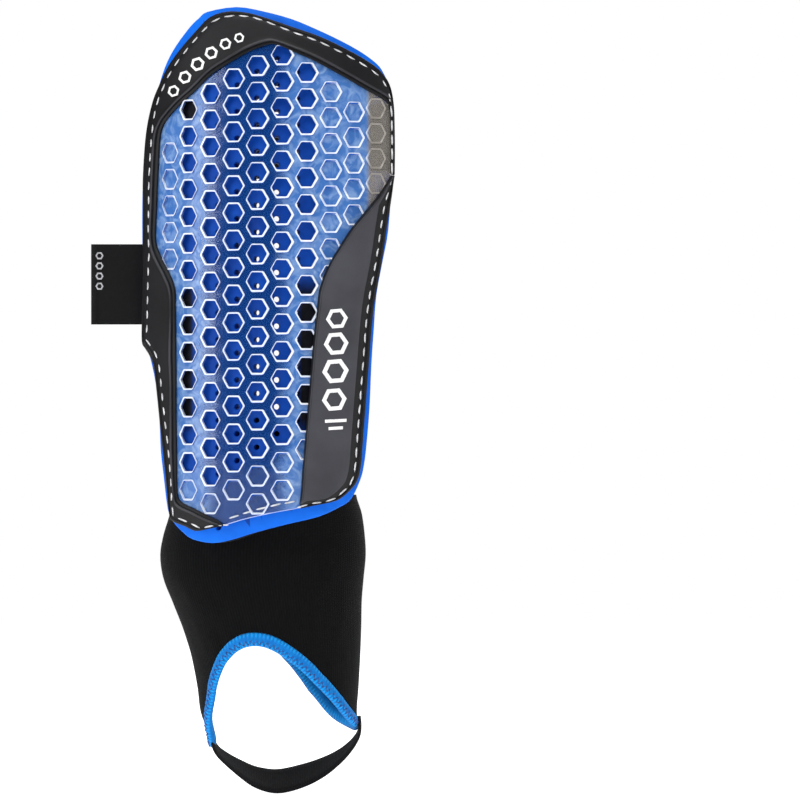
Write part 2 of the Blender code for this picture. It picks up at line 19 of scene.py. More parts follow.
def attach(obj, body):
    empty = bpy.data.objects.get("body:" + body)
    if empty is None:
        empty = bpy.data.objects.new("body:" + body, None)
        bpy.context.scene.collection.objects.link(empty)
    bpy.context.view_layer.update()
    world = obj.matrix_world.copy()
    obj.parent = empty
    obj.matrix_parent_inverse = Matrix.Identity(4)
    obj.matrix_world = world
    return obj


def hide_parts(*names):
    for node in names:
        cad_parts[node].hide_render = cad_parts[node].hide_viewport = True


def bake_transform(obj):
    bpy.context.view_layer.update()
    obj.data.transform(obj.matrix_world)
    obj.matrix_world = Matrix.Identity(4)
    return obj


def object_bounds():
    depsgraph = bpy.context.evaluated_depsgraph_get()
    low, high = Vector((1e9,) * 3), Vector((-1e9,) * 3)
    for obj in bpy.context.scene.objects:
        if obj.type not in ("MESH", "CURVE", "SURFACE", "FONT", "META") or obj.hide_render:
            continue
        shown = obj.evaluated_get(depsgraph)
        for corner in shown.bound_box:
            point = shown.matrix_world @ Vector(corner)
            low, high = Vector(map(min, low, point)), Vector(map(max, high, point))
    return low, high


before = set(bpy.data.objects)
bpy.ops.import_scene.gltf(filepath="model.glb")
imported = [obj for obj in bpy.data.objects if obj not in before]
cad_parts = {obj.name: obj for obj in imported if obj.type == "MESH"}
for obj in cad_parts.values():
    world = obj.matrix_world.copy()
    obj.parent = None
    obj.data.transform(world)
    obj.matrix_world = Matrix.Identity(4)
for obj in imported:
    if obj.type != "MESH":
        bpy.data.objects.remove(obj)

cad_box = [list(corner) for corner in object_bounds()]
MM = 0.001
random.seed(7)

# %% [markdown]
# ## Camera
#
# A flat product view needs a long lens: from far away the near and far edges of the guard keep
# the same scale. The camera looks straight along +Y at the point in the middle of the picture,
# which lies to the right of the guard, because the object stands in the left half of the frame.

# %% Camera
PICTURE_WIDTH = 336 * MM              # what the frame shows at the guard's distance
PICTURE_CENTRE = Vector((57.9, 0, -52.6)) * MM
LENS = 250
SENSOR = 36

camera_data = bpy.data.cameras.new("product_camera")
camera_data.lens = LENS
camera_data.sensor_width = SENSOR
camera = bpy.data.objects.new("product_camera", camera_data)
distance = PICTURE_WIDTH * LENS / SENSOR
camera.location = PICTURE_CENTRE - Vector((0, distance, 0))
camera.rotation_euler = (math.radians(90), 0, 0)
bpy.context.collection.objects.link(camera)
bpy.context.scene.camera = camera
bpy.context.scene.view_settings.view_transform = "Standard"
print(f"camera stands {distance:.2f} m in front of the guard")

# %% [markdown]
# ## Colour and node helpers
#
# Colours are written as sRGB hex values, the way a colour card gives them. Blender's shaders work
# with linear light, so one function converts them. A second function adds a node, fills in its
# settings and makes its links, so that a material reads as a short list of nodes.

# %% Colour and node helpers


def linear(code):
    """An sRGB hex colour as linear RGBA."""
    parts = [int(code[i:i + 2], 16) / 255 for i in (1, 3, 5)]
    return (*[p / 12.92 if p <= 0.04045 else ((p + 0.055) / 1.055) ** 2.4 for p in parts], 1)


def add(tree, kind, settings=None, links=None):
    """Add a node, set its sockets or properties, and link its inputs."""
    made = tree.nodes.new("ShaderNode" + kind)
    for key, value in (settings or {}).items():
        if isinstance(key, int) or key in made.inputs:
            made.inputs[key].default_value = value
        else:
            setattr(made, key, value)
    for key, source in (links or {}).items():
        tree.links.new(source, made.inputs[key])
    return made


def maths(tree, operation, *values):
    """A Math node. Each value is a number, or a socket to link."""
    made = add(tree, "Math", {"operation": operation})
    for socket, value in zip(made.inputs, values):
        if isinstance(value, (int, float)):
            socket.default_value = value
        else:
            tree.links.new(value, socket)
    return made.outputs[0]


def remap(tree, source, low, high, to_low=0.0, to_high=1.0, curve="LINEAR"):
    """Map a value from one range to another, held at both ends."""
    return add(tree, "MapRange", {"interpolation_type": curve, "From Min": low, "From Max": high,
                                  "To Min": to_low, "To Max": to_high},
               {"Value": source}).outputs["Result"]


def mixed_colour(tree, share, first, second):
    """Go from the first colour to the second. Each is a hex value, or a socket to link."""
    made = add(tree, "MixRGB", links={"Fac": share})
    for key, value in (("Color1", first), ("Color2", second)):
        if isinstance(value, str):
            made.inputs[key].default_value = linear(value)
        else:
            tree.links.new(value, made.inputs[key])
    return made.outputs["Color"]


def colour_ramp(tree, source, dark, light, low, high):
    """A ramp between two hex colours, which stand at the values low and high."""
    made = add(tree, "ValToRGB", links={"Fac": source})
    for element, position, code in zip(made.color_ramp.elements, (low, high), (dark, light)):
        element.position = position
        element.color = linear(code)
    return made.outputs["Color"]


def new_material(name, **sockets):
    """A material with a Principled BSDF whose uniform values sit on its own sockets."""
    material = bpy.data.materials.new(name)
    material.use_nodes = True
    shader = material.node_tree.nodes["Principled BSDF"]
    for key, value in sockets.items():
        shader.inputs[key.replace("_", " ").title().replace("Ior", "IOR")].default_value = value
    place = add(material.node_tree, "TexCoord").outputs["Object"]
    print("material", name)
    return material, material.node_tree, shader, place


def tint(tree, shader, place, dark, light, scale, detail=4.0):
    """Let the base colour drift between two hex colours, by a noise of this scale per metre."""
    drift = add(tree, "TexNoise", {"Scale": scale, "Detail": detail}, {"Vector": place})
    colour = colour_ramp(tree, drift.outputs["Fac"], dark, light, 0.3, 0.7)
    tree.links.new(colour, shader.inputs["Base Color"])
    return drift.outputs["Fac"]


def rough_range(tree, shader, source, low, high):
    """Let the roughness follow a texture between two values."""
    tree.links.new(remap(tree, source, 0.0, 1.0, low, high), shader.inputs["Roughness"])


def bump(tree, shader, height, depth_mm, strength):
    """Tilt the surface by a height texture whose full swing is this many millimetres."""
    made = add(tree, "Bump", {"Strength": strength, "Distance": depth_mm * MM}, {"Height": height})
    tree.links.new(made.outputs["Normal"], shader.inputs["Normal"])


# %% [markdown]
# ## The guard's curved surface
#
# The whole guard is a stack of sheets that share one curved surface: two parabolas side by side
# that meet on the shin ridge, leaning back at the top and a little at the toe. A point is named
# by where it is seen from the front (x, z) and by its height above the inner face.

# %% The guard's curved surface
RIDGE_X = 3.0
LEFT_BEND = 31.0 / 53.0 ** 2
RIGHT_BEND = 17.0 / 52.0 ** 2
TOP_BEND, TOP_START = 13.0 / 83.0 ** 2, 30.0
TOE_BEND, TOE_START = 3.0 / 53.0 ** 2, -60.0


def guard_depth(x, z):
    """y of the inner face at (x, z), with its slopes along x and z, in millimetres."""
    bend = LEFT_BEND if x < RIDGE_X else RIGHT_BEND
    top, toe = max(0.0, z - TOP_START), max(0.0, TOE_START - z)
    depth = bend * (x - RIDGE_X) ** 2 + TOP_BEND * top ** 2 + TOE_BEND * toe ** 2
    return depth, 2 * bend * (x - RIDGE_X), 2 * TOP_BEND * top - 2 * TOE_BEND * toe


def on_guard(x, z, height, seen_at=None):
    """A point in metres. Sheets are cut square to the surface, and (x, z) holds at seen_at."""
    seen_at = height if seen_at is None else seen_at
    depth, slope_x, slope_z = guard_depth(x, z)
    steepness = math.sqrt(1 + slope_x ** 2 + slope_z ** 2)
    outward = Vector((slope_x, -1, slope_z)) / steepness
    seen = Vector((x, depth - seen_at * steepness, z))
    return (seen + outward * (height - seen_at)) * MM


def across(arc):
    """The x that lies this far from the ridge, measured along the curved section."""
    bend = 2 * (LEFT_BEND if arc < 0 else RIGHT_BEND)
    flat = abs(arc)
    for _ in range(8):
        flat = abs(arc) - bend ** 2 * flat ** 3 / 6
    return RIDGE_X + math.copysign(flat, arc)


# %% [markdown]
# ## Curve and mesh helpers
#
# Outlines are a few chosen points with a smooth curve through them. A sheet starts as a flat
# drawing: its loops are filled, cut by a grid so that it can bend, and then laid on the curved
# surface.

# %% Curve and mesh helpers


def catmull_rom(a, b, c, d, t):
    """The curve from b to c at t from 0 to 1, with a and d as the neighbours."""
    return 0.5 * (2 * b + (c - a) * t + (2 * a - 5 * b + 4 * c - d) * t ** 2
                  + (3 * b - a - 3 * c + d) * t ** 3)


def smooth(points, steps, closed=False):
    """A smooth curve through the points, with this many steps between two of them."""
    rows = [Vector(p) for p in points]
    count = len(rows)
    curve = []
    for i in range(count if closed else count - 1):
        if closed:
            near = [rows[(i + k) % count] for k in (-1, 0, 1, 2)]
        else:
            near = [rows[min(max(i + k, 0), count - 1)] for k in (-1, 0, 1, 2)]
        curve += [catmull_rom(*near, s / steps) for s in range(steps)]
    if not closed:
        curve.append(rows[-1])
    return curve


def inset_loop(loop, distance):
    """Move a clockwise closed outline inwards by this distance."""
    moved = []
    for i, point in enumerate(loop):
        along = (loop[(i + 1) % len(loop)] - loop[i - 1]).normalized()
        moved.append(point + distance * Vector((along.y, -along.x)))
    return moved


def even_points(points, spacing, closed=False):
    """Points at even spacing along a polyline, with the direction of travel at each."""
    rows = list(points) + ([points[0]] if closed else [])
    lengths = [(b - a).length for a, b in zip(rows, rows[1:])]
    count = max(1, round(sum(lengths) / spacing))
    step = sum(lengths) / count
    placed, walked, i = [], 0.0, 0
    for k in range(count if closed else count + 1):
        goal = min(k * step, sum(lengths) - 1e-9)
        while walked + lengths[i] < goal:
            walked += lengths[i]
            i += 1
        share = (goal - walked) / lengths[i]
        placed.append((rows[i].lerp(rows[i + 1], share), (rows[i + 1] - rows[i]).normalized()))
    return placed


def finish_mesh(name, bm, material, body, stands_for=(), sharp=35):
    """Make the object, shade it, and let it ride on its body and stand for its CAD nodes.

    For a piece that crosses a joint, body is (first body, second body, start, end) of its bend; these are
    not used, and the piece stays fixed in place.
    """
    bmesh.ops.recalc_face_normals(bm, faces=bm.faces[:])
    mesh = bpy.data.meshes.new(name)
    bm.to_mesh(mesh)
    bm.free()
    for one in material if isinstance(material, (list, tuple)) else [material]:
        mesh.materials.append(one)
    mesh.shade_smooth()
    mesh.set_sharp_from_angle(angle=math.radians(sharp))
    piece = bpy.data.objects.new(name, mesh)
    bpy.context.collection.objects.link(piece)
    if isinstance(body, str):
        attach(piece, body)
    else:
        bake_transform(piece)
    if stands_for:
        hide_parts(*stands_for)
    print(f"{name}: {len(mesh.vertices)} points")
    return piece


def wall(bm, first, second):
    """Quads between two loops with the same number of points."""
    for k in range(len(first)):
        n = (k + 1) % len(first)
        bm.faces.new((first[k], first[n], second[n], second[k]))


def loft(rings, closed=False, marks=None):
    """Join rings of points into a solid. marks gives each ring segment a material number.

    The UV map holds metres: U along the row of rings, and V round each ring.
    """
    bm = bmesh.new()
    sheet = bm.loops.layers.uv.new("metres")
    loops = [[bm.verts.new(p) for p in ring] for ring in rings]
    middles = [sum((v.co for v in loop), Vector()) / len(loop) for loop in loops]
    girth = loops[len(loops) // 2]
    around = [0.0]
    for k in range(len(girth)):
        around.append(around[-1] + (girth[(k + 1) % len(girth)].co - girth[k].co).length)
    walked = 0.0
    count = len(loops)
    for i in range(count if closed else count - 1):
        first, second = loops[i], loops[(i + 1) % count]
        step = (middles[(i + 1) % count] - middles[i]).length
        for k in range(len(first)):
            n = (k + 1) % len(first)
            face = bm.faces.new((first[k], first[n], second[n], second[k]))
            face.material_index = marks[k] if marks else 0
            corners = ((walked, around[k]), (walked, around[k + 1]),
                       (walked + step, around[k + 1]), (walked + step, around[k]))
            for corner, place in zip(face.loops, corners):
                corner[sheet].uv = place
        walked += step
    if not closed:
        bm.faces.new(loops[0])
        bm.faces.new(loops[-1][::-1])
    return bm


def tube(path, radius, sides, closed=False, up=Vector((0, -1, 0))):
    """Rings of a round tube. radius is a function of the share of the way along."""
    rings = []
    count = len(path)
    for i, point in enumerate(path):
        ahead = path[(i + 1) % count] if closed else path[min(i + 1, count - 1)]
        behind = path[i - 1] if closed else path[max(i - 1, 0)]
        along = (ahead - behind).normalized()
        side = along.cross(up).normalized()
        rise = side.cross(along)
        reach = radius(i / (count - 1))
        turns = [2 * math.pi * k / sides for k in range(sides)]
        rings.append([point + reach * (math.cos(t) * side + math.sin(t) * rise) for t in turns])
    return rings


def flat_sheet(levels, holes, cut_x, cut_z):
    """A closed flat sheet drawn in x and z, with y holding minus the height.

    levels lists (outline, height) from the front face round the edge to the back face, and each
    hole is a list of (loop, height) that goes through the sheet in the same order.
    """
    bm = bmesh.new()

    def ring(loop, height):
        return [bm.verts.new((p[0], -height, p[1])) for p in loop]

    edge = [ring(loop, height) for loop, height in levels]
    bores = [[ring(loop, height) for loop, height in hole] for hole in holes]
    for rings in [edge] + bores:
        for first, second in zip(rings, rings[1:]):
            wall(bm, first, second)
    through = [bore for bore in bores if bore[-1][0].co.y == edge[-1][0].co.y]
    for end, ends in ((0, bores), (-1, through)):
        loops = [edge[end]] + [bore[end] for bore in ends]
        edges = []
        for loop in loops:
            for k in range(len(loop)):
                pair = (loop[k], loop[(k + 1) % len(loop)])
                edges.append(bm.edges.get(pair) or bm.edges.new(pair))
        bmesh.ops.triangle_fill(bm, use_beauty=True, edges=edges)
    for bore in bores:
        if bore not in through:
            bm.faces.new(bore[-1])
    xs = [v.co.x for v in bm.verts]
    zs = [v.co.z for v in bm.verts]
    for axis, step, low, high in ((Vector((1, 0, 0)), cut_x, min(xs), max(xs)),
                                  (Vector((0, 0, 1)), cut_z, min(zs), max(zs))):
        for k in range(math.ceil(low / step), int(high / step) + 1):
            bmesh.ops.bisect_plane(bm, geom=bm.verts[:] + bm.edges[:] + bm.faces[:],
                                   plane_co=axis * step * k, plane_no=axis, dist=0.0005)
    return bm


def lay_on_guard(bm, seen_at, tilt=1.0):
    """Bend a flat sheet onto the guard's surface.

    The drawing holds at the height seen_at. Walls stand square to the surface for a tilt of 1,
    and straight along Y, the way a simple two-part mould pulls them, for a tilt of 0.
    """
    for vert in bm.verts:
        x, height, z = vert.co.x, -vert.co.y, vert.co.z
        _, slope_x, slope_z = guard_depth(x, z)
        shift = (height - seen_at) * tilt / math.sqrt(1 + slope_x ** 2 + slope_z ** 2)
        vert.co = on_guard(x + shift * slope_x, z + shift * slope_z, height)


# %% [markdown]
# ## Foam
#
# The padding is EVA foam cut from a sheet: a firm blue layer at the front, a softer one behind,
# and a black brushed lining on the leg side. A row of round holes is punched through all three
# so that the leg can breathe. The layers share one outline and are cut square to the surface, so
# near the ridge you can look right through a hole, and further round it looks dark.

# %% Foam shapes
FOAM_EDGE = [
    (-11.3, 113.2), (0, 111.3), (12.2, 108), (23, 103.6), (33.6, 98.7), (42, 94.1), (48.3, 89.5),
    (51, 86), (53.2, 81), (53.8, 75.5), (52.9, 72), (52.8, 66), (52.8, 50), (52.9, 43.5),
    (54.6, 40), (53.3, 19), (51, 6.3), (48.3, -8.4), (47.2, -23), (46.2, -37.8), (45.4, -56),
    (44.1, -71.8), (43.1, -79.8), (41.6, -86), (37.8, -94), (33.2, -97.4), (23.9, -101.6),
    (10.5, -104.8), (-3.4, -108.4), (-12.6, -111.3), (-21.4, -112.8), (-29.8, -111.3),
    (-34, -108.4), (-38, -104.2), (-40.5, -98.7), (-42.3, -84.4), (-43.5, -74), (-44.1, -61),
    (-45.8, -45.4), (-48.1, -35), (-50, -28), (-50.9, -10), (-51.7, 14.7), (-51.6, 36),
    (-50.9, 41), (-49.2, 44.5), (-48.2, 52), (-46.9, 60), (-45.4, 69), (-46, 73.5), (-45.6, 76),
    (-43.5, 83.8), (-40.9, 90.7), (-37.1, 97.4), (-31.1, 105.2), (-27.3, 108.8), (-23.5, 111.5)]
FIRM_TOP, FIRM_BASE, SOFT_TOP, SOFT_BASE, LINING_TOP = 7.4, 4.35, 4.25, 1.0, 0.9
LINING_BASE, LINING_OVERHANG = 0.1, 0.7          # the lining is cut this much wider
FOAM_CUTS, SHELL_CUTS = (5.0, 9.0), (5.2, 9.0)   # the grid that lets a sheet bend, in x and z
HOLE_RADIUS, HOLE_CHAMFER, HOLE_SIDES = 1.2, 0.15, 12
HOLE_COLUMN, HOLE_FIRST_COLUMN = 8.5, 3.3       # spacing along the curved section
HOLE_ROW, HOLE_FIRST_ROW = 11.26, -27.3
PAINTED_LIT_BAND = 6.5                                 # this far in, the foam isn't behind the overlay, and the front layer is painted lighter there as lit foam
HOLE_EDGE = 6.0                                 # no hole comes nearer to the outline


def distance_to_loop(point, loop):
    """Distance from a point to a closed outline, negative outside it."""
    nearest, inside = 1e9, False
    for a, b in zip(loop, loop[1:] + loop[:1]):
        side = b - a
        share = min(1.0, max(0.0, (point - a).dot(side) / side.length_squared))
        nearest = min(nearest, (a + side * share - point).length)
        if (a.y > point.y) != (b.y > point.y):
            if point.x < a.x + (point.y - a.y) * (b.x - a.x) / (b.y - a.y):
                inside = not inside
    return nearest if inside else -nearest


foam_outline = smooth(FOAM_EDGE, 3, closed=True)
hole_centres = []
for column in range(-5, 6):
    for row in range(-9, 14):
        x = across(HOLE_FIRST_COLUMN + HOLE_COLUMN * column)
        z = HOLE_FIRST_ROW + HOLE_ROW * (row + (0.5 if column % 2 == 0 else 0.0))
        if distance_to_loop(Vector((x, z)), foam_outline) > HOLE_EDGE:
            hole_centres.append((x, z))
print(len(hole_centres), "breathing holes")


def hole_loop(x, z, radius):
    """A round hole's outline."""
    turns = [2 * math.pi * k / HOLE_SIDES for k in range(HOLE_SIDES)]
    return [Vector((x + radius * math.cos(t), z + radius * math.sin(t))) for t in turns]


def foam_layer(top, base, grow, rounding):
    """A perforated layer with rounded edges, wider than the outline by grow."""
    outer = inset_loop(foam_outline, -grow)
    narrow, middle = inset_loop(outer, rounding), inset_loop(outer, rounding * 0.3)
    levels = [(narrow, top), (middle, top - rounding * 0.3), (outer, top - rounding),
              (outer, base + rounding), (middle, base + rounding * 0.3), (narrow, base)]
    holes = [[(hole_loop(x, z, HOLE_RADIUS + HOLE_CHAMFER), top),
              (hole_loop(x, z, HOLE_RADIUS), top - HOLE_CHAMFER),
              (hole_loop(x, z, HOLE_RADIUS), base)] for x, z in hole_centres]
    sheet = flat_sheet(levels, holes, *FOAM_CUTS)
    # Faces near the outline get the painted light, and the rest get the painted shade.
    for face in sheet.faces:
        middle = face.calc_center_median()
        painted_lit = distance_to_loop(Vector((middle.x, middle.z)), foam_outline) < PAINTED_LIT_BAND
        face.material_index = 1 if painted_lit else 0
    lay_on_guard(sheet, FIRM_TOP)
    return sheet


# %% [markdown]
# EVA foam has a fine closed-cell skin: an even colour with a faint mottling, a soft broad shine,
# and tiny pits about 0.3 mm across that only show as a slight grain.

# %% Foam materials


def eva_foam(name, dark, light):
    """Closed-cell EVA sheet, skived: a soft even colour with a fine grain."""
    material, tree, shader, place = new_material(name, roughness=0.55, specular_ior_level=0.15)
    drift = tint(tree, shader, place, dark, light, 60)
    rough_range(tree, shader, drift, 0.48, 0.68)
    pits = add(tree, "TexVoronoi", {"Scale": 2500}, {"Vector": place})
    bump(tree, shader, pits.outputs["Distance"], 0.05, 0.5)
    return material


def brushed_knit(name, dark, light):
    """Polyester tricot with a brushed face: matt black with a short nap."""
    material, tree, shader, place = new_material(name, roughness=0.9, sheen_weight=0.12,
                                                 sheen_roughness=0.5, specular_ior_level=0.2)
    drift = tint(tree, shader, place, dark, light, 900)
    rough_range(tree, shader, drift, 0.82, 0.98)
    bump(tree, shader, drift, 0.12, 0.7)
    return material


# where the painted shade begins and where it is full, in millimetres
SHADE_MIDDLE_X, SHADE_ASIDE = -6.8, (20.5, 23.8)
SHADE_TOP, SHADE_FOOT = (2.0, -9.0), (-70.0, -60.0)
SHADE_CORNER_X, SHADE_CORNER_Z = (-26.0, -28.5), (63.0, 67.0)


def paint_gap_shade(material):
    """Painted shade: the blue foam is painted near black beside the frame and in the top left corner, where
    the shell stands off it.
    """
    tree = material.node_tree
    shader = tree.nodes["Principled BSDF"]
    blue = shader.inputs["Base Color"].links[0].from_socket
    spot = add(tree, "SeparateXYZ", links={"Vector": add(tree, "TexCoord").outputs["Object"]})
    x, z = spot.outputs["X"], spot.outputs["Z"]
    aside = maths(tree, "ABSOLUTE", maths(tree, "SUBTRACT", x, SHADE_MIDDLE_X * MM))

    def between(*rules):
        shares = [remap(tree, value, low * MM, high * MM, curve="SMOOTHSTEP")
                  for value, (low, high) in rules]
        whole = shares[0]
        for share in shares[1:]:
            whole = maths(tree, "MULTIPLY", whole, share)
        return whole

    # painted shade: #02040E, near black, in the deep gaps beside the frame and in the top left corner
    black = maths(tree, "MAXIMUM",
                  between((aside, SHADE_ASIDE), (z, SHADE_TOP), (z, SHADE_FOOT)),
                  between((x, SHADE_CORNER_X), (z, SHADE_CORNER_Z)))
    tree.links.new(mixed_colour(tree, black, blue, "#02040E"), shader.inputs["Base Color"])
    return material


# The front foam comes in two copies: painted shade for the inside, and painted light for the edge.
shaded_eva = paint_gap_shade(eva_foam("firm_eva_foam_blue_painted_shade", "#023C96", "#044AAE"))
painted_lit_eva = eva_foam("firm_eva_foam_painted_lit_edge", "#025CCB", "#066CE4")
deep_eva = eva_foam("soft_eva_foam_blue", "#0A4DA8", "#0F5CC0")
lining_knit = brushed_knit("brushed_tricot_lining", "#08080A", "#131316")

# %% [markdown]
# The three layers are the same drawing at three heights, so one loop makes them all. The front
# layer is painted brighter near its edge as painted light, where light falls on the bare foam,
# and darker inside as painted shade under the shell.

# %% Foam pieces
for name, layer, materials, node, slot in (
        ("firm_foam_sheet", (FIRM_TOP, FIRM_BASE, 0.0, 0.7), [shaded_eva, painted_lit_eva],
         "firm_foam", "blue_foam"),
        ("soft_foam_sheet", (SOFT_TOP, SOFT_BASE, 0.0, 0.6), [deep_eva, deep_eva],
         "soft_foam", "soft_foam"),
        ("lining_sheet", (LINING_TOP, LINING_BASE, LINING_OVERHANG, 0.3),
         [lining_knit, lining_knit], "lining", "lining")):
    finish_mesh(name, foam_layer(*layer), materials, "guard", [node], 60)

# %% [markdown]
# ## Clear honeycomb shell
#
# The shell is one injection-moulded sheet of clear polymer, 2 mm thick. Hexagonal cells stand on
# it as low rims. In the middle they are open right through, and near the right side and the edges
# they are closed. The cells follow the surface, so their columns look narrower where the shell
# turns away. All of it is one closed mesh: the flat sheet with a stack of rings at each cell.

# %% Shell shapes
CELL_COLUMN, CELL_ROW, CELL_SHRINK, CELL_FIRST_Z = 10.39, 11.75, 0.0207, -72.7
DROOP, DROOP_X = 0.0037, -10.0
COLUMN_SHIFT = {-5: -1.2, -4: -1.0, -3: 0.0}    # the outer columns on the left stand further out
SHELL_FACE, SHELL_BACK, RIM_TOP = 9.7, 7.95, 10.45
OPEN_FLATS, RIM_FLATS, FOOT_FLATS = 7.2, 8.4, 8.9       # across the flats of each cell's rings
SHELL_EDGE = [
    (-27.3, -107.2), (-32, -105.3), (-36.8, -103.2), (-38.2, -100.4), (-41.5, -69.3),
    (-43.5, -49.6), (-44.9, -38.4), (-48.4, -31.1), (-49.9, -28), (-49.6, 14.7), (-49.6, 42),
    (-48.3, 60), (-45.6, 72.7), (-39, 87.6), (-33.9, 94.8), (-27.2, 102.3), (-21.4, 108.1),
    (-14.3, 110.2), (-0.8, 108.1), (12.2, 103.6), (24.8, 99.2), (37.8, 92.9), (46.1, 87.9),
    (50.2, 84), (52.9, 79), (54.4, 70), (54.6, 48), (54.5, 40), (51.5, 19), (49.7, 6.3),
    (47, -8.4), (45.2, -23), (44.1, -38), (42.7, -56), (41.5, -72), (40.7, -82), (38.9, -87),
    (35.8, -90.8), (31.9, -94), (27.7, -95.4), (16.2, -97.9), (7.5, -99.4), (-1.3, -101.2),
    (-8.6, -103), (-15.8, -105.2), (-21.5, -106.5)]


def cell_loop(arc, z, flats, corner=0.07):
    """A hexagon, flat at top and bottom, with each corner cut by a short chamfer."""
    radius = flats / math.sqrt(3)
    tips = [(radius * math.cos(math.radians(60 * k)), radius * math.sin(math.radians(60 * k)))
            for k in range(6)]
    loop = []
    for k in range(6):
        (x0, z0), (x1, z1), (x2, z2) = tips[k - 1], tips[k], tips[(k + 1) % 6]
        loop.append(Vector((across(arc + x1 + (x0 - x1) * corner), z + z1 + (z0 - z1) * corner)))
        loop.append(Vector((across(arc + x1 + (x2 - x1) * corner), z + z1 + (z2 - z1) * corner)))
    return loop[::-1]


WINDOW = [
    (-16, -102), (-30, -97), (-35, -90), (-35.5, -73), (-36, -44), (-36.3, -15), (-38.5, -1),
    (-45, 13), (-44.4, 35), (-43.4, 56), (-40, 66), (-28, 77.3), (-13.4, 89), (-3, 95),
    (4.6, 96.6), (12, 94), (33.6, 83.4), (46, 76.6), (53, 70), (53, 41), (41, 17), (35, 7.3),
    (30, -5.5), (27, -23), (24, -56), (22, -80), (19, -96)]
WINDOW_MARGIN = 2.2                              # how far inside it a cell's centre must lie
# rims are thicker on the side away from the ridge, left of LEAN_LEFT and right of LEAN_RIGHT
RIM_LEAN, RIM_RISE, LEAN_LEFT, LEAN_RIGHT = 0.27, 0.17, -21.0, -7.0
BLIND_DEPTH, ANCHOR_FROM = 0.8, 40.0             # closed cells are shallow over the strap's end
TOE_LINE_LOW, TOE_LINE_MIDDLE, TOE_LINE_SLOPE = -88.0, -78.6, 0.57

shell_outline = smooth(SHELL_EDGE, 2, closed=True)
window = [Vector(p) for p in WINDOW]
open_cells, closed_cells = [], []
for column in range(-5, 5):
    arc = (column + 0.5) * CELL_COLUMN + COLUMN_SHIFT.get(column, 0.5)
    x = across(arc)
    for half_row in range(-5, 36):
        if (half_row + column) % 2 == 0:
            continue
        row = half_row / 2
        z = CELL_FIRST_Z + CELL_ROW * row - CELL_SHRINK * row * abs(row)
        z -= DROOP * (x - DROOP_X) ** 2 * min(1.0, (z + 120) / 208)
        if distance_to_loop(Vector((x, z)), window) < WINDOW_MARGIN:
            continue
        toe_line = max(TOE_LINE_LOW, TOE_LINE_MIDDLE + TOE_LINE_SLOPE * (x + 2.0))
        is_open = -4 <= column <= 1 and z > toe_line
        (open_cells if is_open else closed_cells).append((arc, z))
print(len(open_cells), "open cells,", len(closed_cells), "closed cells")

shell_holes = []
for arc, z in open_cells:
    in_arc = arc + (RIM_LEAN if arc < LEAN_LEFT else -RIM_LEAN if arc > LEAN_RIGHT else 0.0)
    in_z = z + (RIM_RISE if arc > LEAN_RIGHT else 0.0)
    shell_holes.append([(cell_loop(arc, z, FOOT_FLATS), SHELL_FACE),
                        (cell_loop(arc, z, RIM_FLATS + 0.2), RIM_TOP - 0.12),
                        (cell_loop(arc, z, RIM_FLATS), RIM_TOP),
                        (cell_loop(in_arc, in_z, OPEN_FLATS + 0.5), RIM_TOP),
                        (cell_loop(in_arc, in_z, OPEN_FLATS + 0.25), RIM_TOP - 0.15),
                        (cell_loop(in_arc, in_z, OPEN_FLATS), SHELL_BACK)])
for arc, z in closed_cells:
    depth = 0.0 if arc > ANCHOR_FROM else BLIND_DEPTH
    shell_holes.append([(cell_loop(arc, z, FOOT_FLATS), SHELL_FACE),
                        (cell_loop(arc, z, RIM_FLATS + 0.2), RIM_TOP - 0.3),
                        (cell_loop(arc, z, RIM_FLATS - 0.2), RIM_TOP - 0.25),
                        (cell_loop(arc, z, OPEN_FLATS - 0.1), SHELL_FACE - depth)])
shell_levels = [(inset_loop(shell_outline, 0.35), SHELL_FACE), (shell_outline, SHELL_FACE - 0.35),
                (shell_outline, SHELL_BACK + 0.2), (inset_loop(shell_outline, 0.2), SHELL_BACK)]
clear_sheet = flat_sheet(shell_levels, shell_holes, *SHELL_CUTS)

# %% [markdown]
# A clear moulding is hard to show with glass alone: the thin web lets the blue through, while the
# rims and the walls of the cells gather light and look white. So the shell has two finishes, and both
# carry painted light. The web is a thin sheet that goes from a deep tint on the ridge to a painted
# pale reflection at the sides, and the rims are the same polymer with nearly full cover, painted
# near white as a highlight.

# %% Shell materials
CLEAREST_X, CLEAR_HALF, PAINTED_REFLECTION_HALF, FLOW_SPREAD = -7.0, 16.0, 26.0, 10.0
EDGE_FROM, EDGE_TO, EDGE_COVER = 50.5, 52.5, 0.8        # the outer edge, over the strap's end
LIT_WAY = (-0.5, 0.0, 0.85)                             # walls that face this way get a painted highlight, and walls facing away a painted shade
